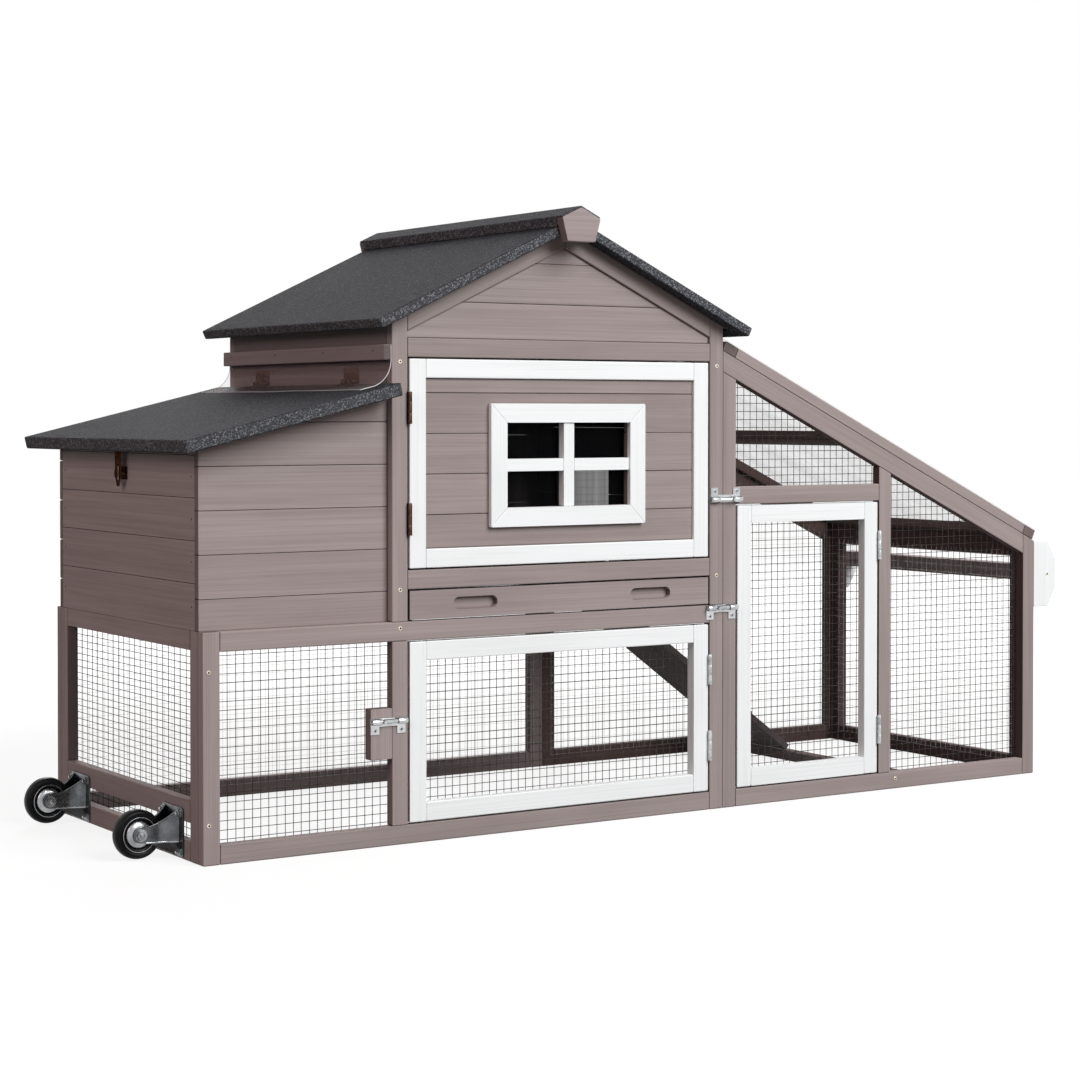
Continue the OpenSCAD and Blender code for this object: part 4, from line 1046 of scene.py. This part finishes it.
class POULTRY_OT_clear_sheets(bpy.types.Operator):
    """Glaze the window, the run roof and hang the rain flap"""

    bl_idname = "poultry.clear_sheets"
    bl_label = "Clear Sheets"

    def execute(self, context):
        sheet = settings(context).sheet
        # Painted shade: the pane is tinted near black and about half opaque, standing for the dark
        # inside of the house.
        dress(FRAME["nodes"]["window_pane"], clear_plastic(
            "acrylic_pane_cast_smoked", sheet.pane_shade, veil=(0.62, 0.52), rough=(0.03, 0.1),
            streak=(0.02, 0.02, 0.3), gloss=0.025,
        ))
        dress(FRAME["nodes"]["run_roof_sheet"], clear_plastic(
            "pvc_roof_sheet_hazed", sheet.milky, veil=(0.12, 0.22), rough=(0.25, 0.4),
            streak=(0.4, 0.05, 0.2), gloss=0.25,
        ))
        bench = Bench()
        points, faces, edges = flap_shape(sheet)
        bench.take((points, faces + edges))
        bench.finishes[len(faces):] = [1] * len(edges)
        # Painted highlight: the cut edges of the flap take a nearly opaque white plastic, so they
        # stand out white.
        flap = bench.piece("rain_flap_bent", [
            clear_plastic(
                "pvc_flap_soft_clear", sheet.flap, veil=(0.08, 0.16), rough=(0.42, 0.55),
                streak=(0.03, 0.2, 0.03), gloss=0.08,
            ),
            clear_plastic(
                "pvc_flap_cut_edge", sheet.clear, veil=(0.8, 0.95), rough=(0.3, 0.5),
                streak=(0.03, 0.2, 0.03),
            ),
        ], smooth=40)
        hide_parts("rain_flap")
        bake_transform(flap)
        return {"FINISHED"}


def strip(stations):
    """A bent plate along stations, each with its top and bottom inside and outside corners."""
    points = [corner for station in stations for corner in station]
    faces, last = [(0, 1, 3, 2)], 4 * (len(stations) - 1)
    for i in range(0, last, 4):
        for a, b in ((0, 1), (1, 3), (3, 2), (2, 0)):
            faces.append((i + a, i + b, i + 4 + b, i + 4 + a))
    faces.append((last + 2, last + 3, last + 1, last))
    return points, faces


# Castors, in the yard frame's millimetres: axle, places along the end, and the plate.
AXLE_X, AXLE_Z = -60.0, 39.0
CASTORS = (("front", 106.0), ("rear", 474.0))
PLATE_X, PLATE_Z, PLATE_HALF, PLATE_CORNER = -2.5, 40.0, (39.0, 38.0), 8.0
# Cheeks of a fork: half the gap between them, thickness, and radius of their round ends.
CHEEK_GAP, CHEEK_THICK, CHEEK_END = 14.0, 2.4, 12.0
# Where the cheeks start to flare, over what length and how far.
FLARE_FROM, FLARE_RUN, FLARE_OUT = -34.0, 31.0, 9.0
# How far the top edge rises to the plate, how sharply it curves, and how slowly the fold falls.
TOP_RISE, TOP_CURVE, FOLD_FALL = 25.0, 2.2, 50
# Depth of a gusset at the plate and at its tip, and how much it leans in under the cheek.
GUSSET_DEPTH, GUSSET_TIP, GUSSET_LEAN = 22.0, 0.4, 0.45
# How far the gusset, the fold and the rolled top edge are let into the cheek.
GUSSET_SINK, FOLD_SINK, BRIM_SINK = 0.1, 0.2, 0.6
# Thickness of the fold, which takes a painted highlight, and of the rolled top edge, in metres,
# and flats round them.
FOLD_ROLL, BRIM_ROLL, ROLL_SIDES = 0.003, 0.0022, 12
# Steps along a cheek from axle to plate, and those after which the fold and the gusset start.
CHEEK_STEPS, FOLD_START, GUSSET_START = 24, 2, 4


def cheek_flare(x):
    """How far a castor cheek bends outward on its way from the axle to the plate."""
    share = min(1.0, max(0.0, (x - FLARE_FROM) / FLARE_RUN))
    return FLARE_OUT * share * share


def cheek_edge(x):
    """Half the height of a cheek's round end."""
    return math.sqrt(max(0.5, CHEEK_END ** 2 - (x - AXLE_X) ** 2))


def cheek_top(x):
    """Height of a cheek's hollow upper edge."""
    if x < AXLE_X:
        return AXLE_Z + cheek_edge(x)
    return AXLE_Z + CHEEK_END + TOP_RISE * ((x - AXLE_X) / (PLATE_X - AXLE_X)) ** TOP_CURVE


def cheek_fold(x):
    """Height of the fold along the foot of a cheek."""
    if x < AXLE_X:
        return AXLE_Z - cheek_edge(x)
    return AXLE_Z - CHEEK_END - (x - AXLE_X) / FOLD_FALL


def castor_fork(bench, y):
    """One pressed castor fork: base plate, two flared cheeks, folds with a painted highlight, and
    gussets below in painted shade.
    """

    def on_plate(u, v, depth):
        return yard(PLATE_X + depth, y + u, PLATE_Z + v)

    bench.take(prism(rounded(*PLATE_HALF, PLATE_CORNER), 0.0, -PLATE_X, on_plate))
    nose = [AXLE_X - CHEEK_END * math.cos(math.radians(a)) for a in range(0, 91, 10)]
    arm = [AXLE_X + (PLATE_X - AXLE_X) * k / CHEEK_STEPS for k in range(1, CHEEK_STEPS + 1)]
    for side in (-1, 1):
        def on_cheek(x, z, out):
            return yard(x, y + side * (CHEEK_GAP + cheek_flare(x) + out), z)

        bench.take(strip([[
            on_cheek(x, z, out)
            for out in (0.0, CHEEK_THICK) for z in (cheek_top(x), cheek_fold(x))
        ] for x in nose + arm]))
        foot, gusset = arm[GUSSET_START:], []
        for x in foot:
            share = (x - foot[0]) / (PLATE_X - foot[0])
            low = cheek_fold(x) - GUSSET_DEPTH * share - GUSSET_TIP
            lean = GUSSET_LEAN * (cheek_fold(x) - low)
            gusset.append([
                on_cheek(x, z, out - back) for out in (GUSSET_SINK, CHEEK_THICK - GUSSET_SINK)
                for z, back in ((cheek_fold(x), 0.0), (low, lean))
            ])
        # Painted shade: the gussets under the cheeks take the third, darker finish.
        bench.take(strip(gusset), finish=2)
        # Painted highlight: the fold takes the second, brighter finish.
        fold = [on_cheek(x, cheek_fold(x), CHEEK_THICK - FOLD_SINK) for x in arm[FOLD_START:]]
        bench.take(tube(fold, FOLD_ROLL, ROLL_SIDES), finish=1)
        brim = [on_cheek(x, cheek_top(x) - BRIM_SINK, CHEEK_THICK) for x in arm]
        bench.take(tube(brim, BRIM_ROLL, ROLL_SIDES))


def on_axle(y):
    """A place() round the axle of a castor: u and v across it, the third along it."""
    return lambda u, v, along: yard(AXLE_X + u, y + along, AXLE_Z + v)


# Profiles on the axle, from (radius, distance from the middle of the wheel), in mm.
SHAFT = ((1e-3, -16.4), (5.0, -16.4), (5.0, 16.4), (1e-3, 16.4))
WASHER = ((4.0, 16.5), (9.6, 16.5), (9.6, 17.4), (4.0, 17.4))
STUD = ((1e-3, 21.4), (3.6, 21.4), (3.6, 22.9), (2.6, 23.6), (1e-3, 23.8))
AXLE_NUT, NUT_FROM, NUT_TO = 8.0, 17.4, 21.5


def castor_axle(bench, y):
    """One castor axle: its shaft, and at each end a washer, a nut and the end of the thread."""
    place = on_axle(y)
    bench.take(turned(SHAFT, place, flats=40))
    for side in (-1, 1):
        washer, stud = [
            [(radius, along * side) for radius, along in half] for half in (WASHER, STUD)
        ]
        bench.take(turned(washer, place, flats=40))
        bench.take(prism(hexagon(AXLE_NUT), NUT_FROM * side, NUT_TO * side, place))
        bench.take(turned(stud, place, flats=32))


# Half a tyre and half a hub, from (radius, distance from the middle of the wheel), in mm.
TYRE_HALF = (
    (22.3, 8.4), (24.9, 9.4), (25.2, 10.3), (26.9, 10.3), (27.4, 9.7), (29.6, 10.7), (31.0, 11.0),
    (31.4, 10.6), (32.0, 10.6), (32.4, 10.9), (34.2, 10.4), (35.7, 9.1), (36.8, 6.9), (37.5, 3.2),
)
DISC_HALF = (
    (5.05, 13.4), (9.4, 13.4), (10.0, 12.2), (11.2, 11.9), (12.2, 12.5), (15.6, 12.0),
    (18.8, 10.6), (20.9, 8.4), (22.2, 5.6),
)
RING_HALF = ((25.3, 9.6), (25.5, 11.1), (25.9, 11.4), (26.3, 11.4), (26.7, 11.1), (26.8, 9.6))


def both_halves(half):
    """A closed profile from its half: out along one side and back along the other."""
    return list(half) + [(radius, -along) for radius, along in reversed(half)]


class POULTRY_OT_castors(bpy.types.Operator):
    """Press the castor forks, and turn their axles, tyres and hubs"""

    bl_idname = "poultry.castors"
    bl_label = "Castors"

    def execute(self, context):
        fitting = settings(context).fitting
        pressed = plated_metal(
            "steel_zinc_pressed_dull", fitting.pressed, fitting.pressed_dark,
            patch=0.02, rough=0.22,
        )
        # Spun zinc for the hubs and axles, and as a painted highlight on the forks' folds.
        zinc = plated_metal(
            "steel_zinc_spun", fitting.spun, fitting.spun_dull, patch=0.02, rough=0.24,
        )
        # Painted shade for the gussets under the cheeks: darker steel with dark patches.
        under = plated_metal(
            "steel_zinc_pressed_underside", fitting.pressed_dark, fitting.dust_and_shade,
            patch=0.02, rough=0.3,
        )
        rubber = tyre_rubber(fitting)
        forks, axles = Bench(), Bench()
        for name, y in CASTORS:
            castor_fork(forks, y)
            castor_axle(axles, y)
            tyre, hub = Bench(), Bench()
            tyre.take(turned(both_halves(TYRE_HALF), on_axle(y), fitting.flats))
            for half in (DISC_HALF, RING_HALF):
                hub.take(turned(both_halves(half), on_axle(y), fitting.flats))
            moulded = tyre.piece(name + "_tyre_moulded", [rubber], smooth=35)
            stand_in(moulded, name + "_tyre")
            spun = hub.piece(name + "_hub_spun", [zinc], smooth=35)
            stand_in(spun, name + "_hub")
        # The forks' folds take the spun zinc as a painted highlight, and their gussets the darker
        # steel as painted shade.
        fork = forks.piece("castor_forks_pressed", [pressed, zinc, under], smooth=30)
        ease_edges(fork, FORK_EASE)
        stand_in(fork, "castor_forks")
        axle = axles.piece("castor_axles_bolted", [zinc], smooth=30)
        stand_in(axle, "castor_axles")
        return {"FINISHED"}


# Nut on a castor plate, in metres: its washer and stud from (radius, height), and its hexagon.
PLATE_WASHER = ((1e-5, 0), (0.0062, 0), (0.0062, 0.0009), (1e-5, 0.0009))
PLATE_STUD = ((1e-5, 0.004), (0.0028, 0.004), (0.0028, 0.0078), (0.002, 0.0084), (1e-5, 0.0084))
PLATE_NUT, PLATE_NUT_SPAN = 0.005, (0.0009, 0.0042)
# A screw head is flatter than this along Y; anything deeper is a nut on a castor plate.
SCREW_DEPTH = 0.004
# Barrel bolts: middle of each plate along X and Z in mm, and whether its ears point up or down.
BOLTS = ((972.5, 527.0, 1), (963.0, 343.0, -1), (314.0, 195.0, -1))
# A bolt's screws: place on the ears and the plate's face in mm, head radius and height in metres.
BOLT_EAR, BOLT_FACE, BOLT_HEAD = (23.5, 14), -1.5, (0.0034, 0.0009)
# Ring on the hasp, in metres: its radius, its wire's, and where it hangs.
RING, RING_WIRE, RING_OUT, RING_UP = 0.0064, 0.0011, 0.0006, 0.0205


def drive_frame_screws(materials):
    """Screw heads on the posts and rails, and nuts on the castor plates, where the nodes are."""
    bench = Bench()
    places, owner = islands(FRAME["nodes"]["frame_screws"].data)
    for head in sorted(set(owner)):
        low, high = places[owner == head].min(0), places[owner == head].max(0)
        middle, depth = Vector((low + high) / 2), high[1] - low[1]
        if depth < SCREW_DEPTH:
            out = Vector((0, math.copysign(1, middle.y), 0))
            screw_head(bench, middle - out * depth / 2, out, (high[0] - low[0]) / 2, depth)
        else:
            place = outward(Vector((high[0], middle.y, middle.z)), Vector((-1, 0, 0)))
            bench.take(turned(PLATE_WASHER, place, flats=32), finish=2)
            bench.take(prism(hexagon(PLATE_NUT), *PLATE_NUT_SPAN, place), finish=2)
            bench.take(turned(PLATE_STUD, place, flats=24), finish=2)
    driven = bench.piece("frame_screws_driven", materials, smooth=30)
    stand_in(driven, "frame_screws")


def drive_bolt_screws(materials):
    """Two screws through the ears of each bolt's plate."""
    bench = Bench()
    for x, z, ears in BOLTS:
        for side in (-1, 1):
            spot = yard(x + side * BOLT_EAR[0], BOLT_FACE, z + BOLT_EAR[1] * ears)
            screw_head(bench, spot, Vector((0, -1, 0)), *BOLT_HEAD)
    obj = bench.piece("bolt_screws", materials, smooth=30)
    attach(obj, "frame")


def hang_hasp_ring(material):
    """The ring on the hasp's strap that a finger or a padlock goes through."""
    bench = Bench()
    low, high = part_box("hasp_strap")
    eye = Vector((low.x - RING_OUT, (low.y + high.y) / 2, low.z + RING_UP))
    turns = [2 * math.pi * k / 10 for k in range(10)]
    wire = [(RING + RING_WIRE * math.cos(a), RING_WIRE * math.sin(a)) for a in turns]
    bench.take(turned(wire, outward(eye, Vector((-1, 0, 0))), flats=40))
    obj = bench.piece("hasp_ring", [material], smooth=60)
    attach(obj, "hasp")


class POULTRY_OT_fittings(bpy.types.Operator):
    """Finish the hinges, bolts and hasp, and drive the screws"""

    bl_idname = "poultry.fittings"
    bl_label = "Fittings"

    def execute(self, context):
        fitting = settings(context).fitting
        zinc = plated_metal(
            "steel_zinc_plated", fitting.zinc, fitting.zinc_dull, patch=0.012, rough=0.3,
        )
        bright = plated_metal(
            "steel_bolt_bright_plated", fitting.zinc, fitting.chrome_dull, patch=0.03, rough=0.17,
            seam_shade=fitting.nail_black_and_shade,
        )
        bronze = plated_metal(
            "steel_bronzed_lacquered", fitting.bronze, fitting.bronze_dark, patch=0.01, rough=0.4,
            edge=fitting.bronze,
        )
        brass = plated_metal(
            "steel_screw_yellow_plated", fitting.brass, fitting.brass_dull, patch=0.01, rough=0.35,
        )
        nut = plated_metal(
            "steel_nut_zinc", fitting.spun, fitting.spun_dull, patch=0.02, rough=0.24,
        )
        # Painted shade: this dark material fills the recesses of the screw heads.
        recess_shade = nail_black_and_recess_shade(fitting)
        for nodes, material in (
            (ZINC_NODES, zinc), (BOLT_NODES, bright), (BRONZE_NODES, bronze),
        ):
            for node in nodes:
                dress(FRAME["nodes"][node], material)
                ease_edges(FRAME["nodes"][node], FITTING_EASE)
        for node in ("zinc_hinge_leaves", "hinge_pins"):
            dress_nest_hinges(FRAME["nodes"][node], bronze)
        drive_frame_screws([brass, recess_shade, nut])
        drive_bolt_screws([zinc, recess_shade])
        hang_hasp_ring(bronze)
        return {"FINISHED"}


# Lights: setting, colour, size and distance in metres, degrees round to the left, degrees up.
LIGHTS = (
    ("key", "white", 5.0, 8.0, -14, 33),
    ("side", "warm", 3.0, 6.0, 75, 25),
    ("right", "white", 3.0, 6.0, -95, 25),
    ("back", "white", 3.0, 6.0, 200, 28),
)
LIGHT_AIM = Vector((0.1, 0.0, 0.4))
# Camera: place in the yard frame's mm, degrees round and down, shift of the frame, sensor in mm.
CAMERA_PLACE, CAMERA_TURN, CAMERA_DIP = (-1464, -3160, 670), 32.55, 1.07
CAMERA_SHIFT, SENSOR = (0.0208, -0.0751), 36.0
# Floor, in metres: half its side, how far it lies below the feet, and where its white is full.
FLOOR_HALF, FLOOR_DROP, FLOOR_FADE = 9, 0.0005, (1.2, 2.6)


def heading(turn, rise):
    """The way from the house to something so many degrees round to the left, and so high."""
    turn, rise = math.radians(turn), math.radians(rise)
    return Vector((
        -math.sin(turn) * math.cos(rise), -math.cos(turn) * math.cos(rise), math.sin(rise),
    ))


def place_object(name, data, spot, ahead):
    """Put a light or camera at a spot, looking ahead."""
    obj = bpy.data.objects.new(name, data)
    obj.location = spot
    obj.rotation_euler = ahead.to_track_quat("-Z", "Y").to_euler()
    bpy.context.scene.collection.objects.link(obj)
    return obj


def area_light(name, energy, tint, size, away, turn, rise):
    """A square soft light that looks at the house."""
    data = bpy.data.lights.new(name, "AREA")
    data.energy, data.size, data.color = energy, size, tint
    way = heading(turn, rise)
    place_object(name, data, LIGHT_AIM + way * away, -way)


def seen_directly(tree):
    """One for what the eye, a gloss or a clear sheet shows, and nought for light thrown about."""
    ray = add(tree, "LightPath").node.outputs
    seen = add(tree, "Math", (ray["Is Camera Ray"], ray["Is Glossy Ray"]), operation="MAXIMUM")
    return add(tree, "Math", (seen, ray["Is Transmission Ray"]), operation="MAXIMUM")


def studio_world(sky, tint):
    """White all round to the eye and in reflections, and a softer, warmer level for lighting."""
    world = bpy.data.worlds.new("studio_white")
    bpy.context.scene.world = world
    world.use_nodes = True
    tree = world.node_tree
    seen = seen_directly(tree)
    feed(tree, tree.nodes["Background"], {
        "Color": lay_coats(tree, tint, (seen, None, (1, 1, 1))),
        "Strength": add(tree, "MapRange", (seen, 0.0, 1.0, sky, 1.0)),
    })


def studio_floor(albedo):
    """Matt floor that is white to the eye, keeps the shadow, and throws little light back."""
    material, tree, shader = fresh_material("studio_floor_matt")
    place = add(tree, "TexCoord", out="Object")
    away = add(tree, "VectorMath", (place,), "Value", operation="LENGTH")
    white = add(tree, "MapRange", (away, *FLOOR_FADE, 0.85, 1.0))
    feed(tree, shader, {
        "Base Color": albedo,
        "Roughness": 1.0,
        "Specular IOR Level": 0.0,
        "Emission Color": (1, 1, 1),
        "Emission Strength": add(tree, "Math", (seen_directly(tree), white), operation="MULTIPLY"),
    })
    corners = [
        Vector((x * FLOOR_HALF, y * FLOOR_HALF, -FLOOR_DROP))
        for x, y in ((-1, -1), (1, -1), (1, 1), (-1, 1))
    ]
    bench = Bench()
    bench.take((corners, [(0, 1, 2, 3)]))
    return bench.piece("studio_floor", [material])


class POULTRY_OT_stage(bpy.types.Operator):
    """Lay the floor, hang the lights and set the camera"""

    bl_idname = "poultry.stage"
    bl_label = "Stage"

    def execute(self, context):
        stage = settings(context).stage
        studio_floor(stage.floor)
        studio_world(stage.sky, stage.dusk)
        for name, tint, *place in LIGHTS:
            area_light(name + "_soft", getattr(stage, name), getattr(stage, tint), *place)
        data = bpy.data.cameras.new("camera")
        data.lens, data.sensor_width = stage.lens, SENSOR
        data.shift_x, data.shift_y = CAMERA_SHIFT
        ahead = -heading(CAMERA_TURN, CAMERA_DIP)
        context.scene.camera = place_object("camera", data, yard(*CAMERA_PLACE), ahead)
        context.scene.view_settings.view_transform = "Standard"
        return {"FINISHED"}


OPERATORS = (
    POULTRY_OT_stained_boards,
    POULTRY_OT_painted_doors,
    POULTRY_OT_roof_felt,
    POULTRY_OT_board_nails,
    POULTRY_OT_wire_net,
    POULTRY_OT_clear_sheets,
    POULTRY_OT_castors,
    POULTRY_OT_fittings,
    POULTRY_OT_stage,
)


class POULTRY_PT_panel(bpy.types.Panel):
    """Settings and steps of the dressing"""

    bl_idname = "POULTRY_PT_panel"
    bl_label = "Poultry House"
    bl_space_type = "VIEW_3D"
    bl_region_type = "UI"
    bl_category = "Poultry House"

    def draw(self, context):
        groups = settings(context)
        for group in ("timber", "felt", "net", "fitting", "sheet", "stage"):
            box = self.layout.box()
            box.label(text=group.capitalize())
            values = getattr(groups, group)
            for name in values.bl_rna.properties.keys():
                if name not in ("rna_type", "name"):
                    box.prop(values, name)
        for operator in OPERATORS:
            self.layout.operator(operator.bl_idname)


CLASSES = (
    TimberSettings, FeltSettings, NetSettings, FittingSettings, SheetSettings, StageSettings,
    HouseSettings, *OPERATORS, POULTRY_PT_panel,
)


def register():
    """Add the settings, the steps and the panel."""
    for cls in CLASSES:
        bpy.utils.register_class(cls)
    bpy.types.Scene.poultry_house = PointerProperty(type=HouseSettings)


def unregister():
    """Take away what register() added."""
    del bpy.types.Scene.poultry_house
    for cls in reversed(CLASSES):
        bpy.utils.unregister_class(cls)


def main():
    """Run every step in order."""
    register()
    for operator in OPERATORS:
        group, name = operator.bl_idname.split(".")
        getattr(getattr(bpy.ops, group), name)()
    bpy.context.view_layer.update()


if __name__ == "__main__":
    main()
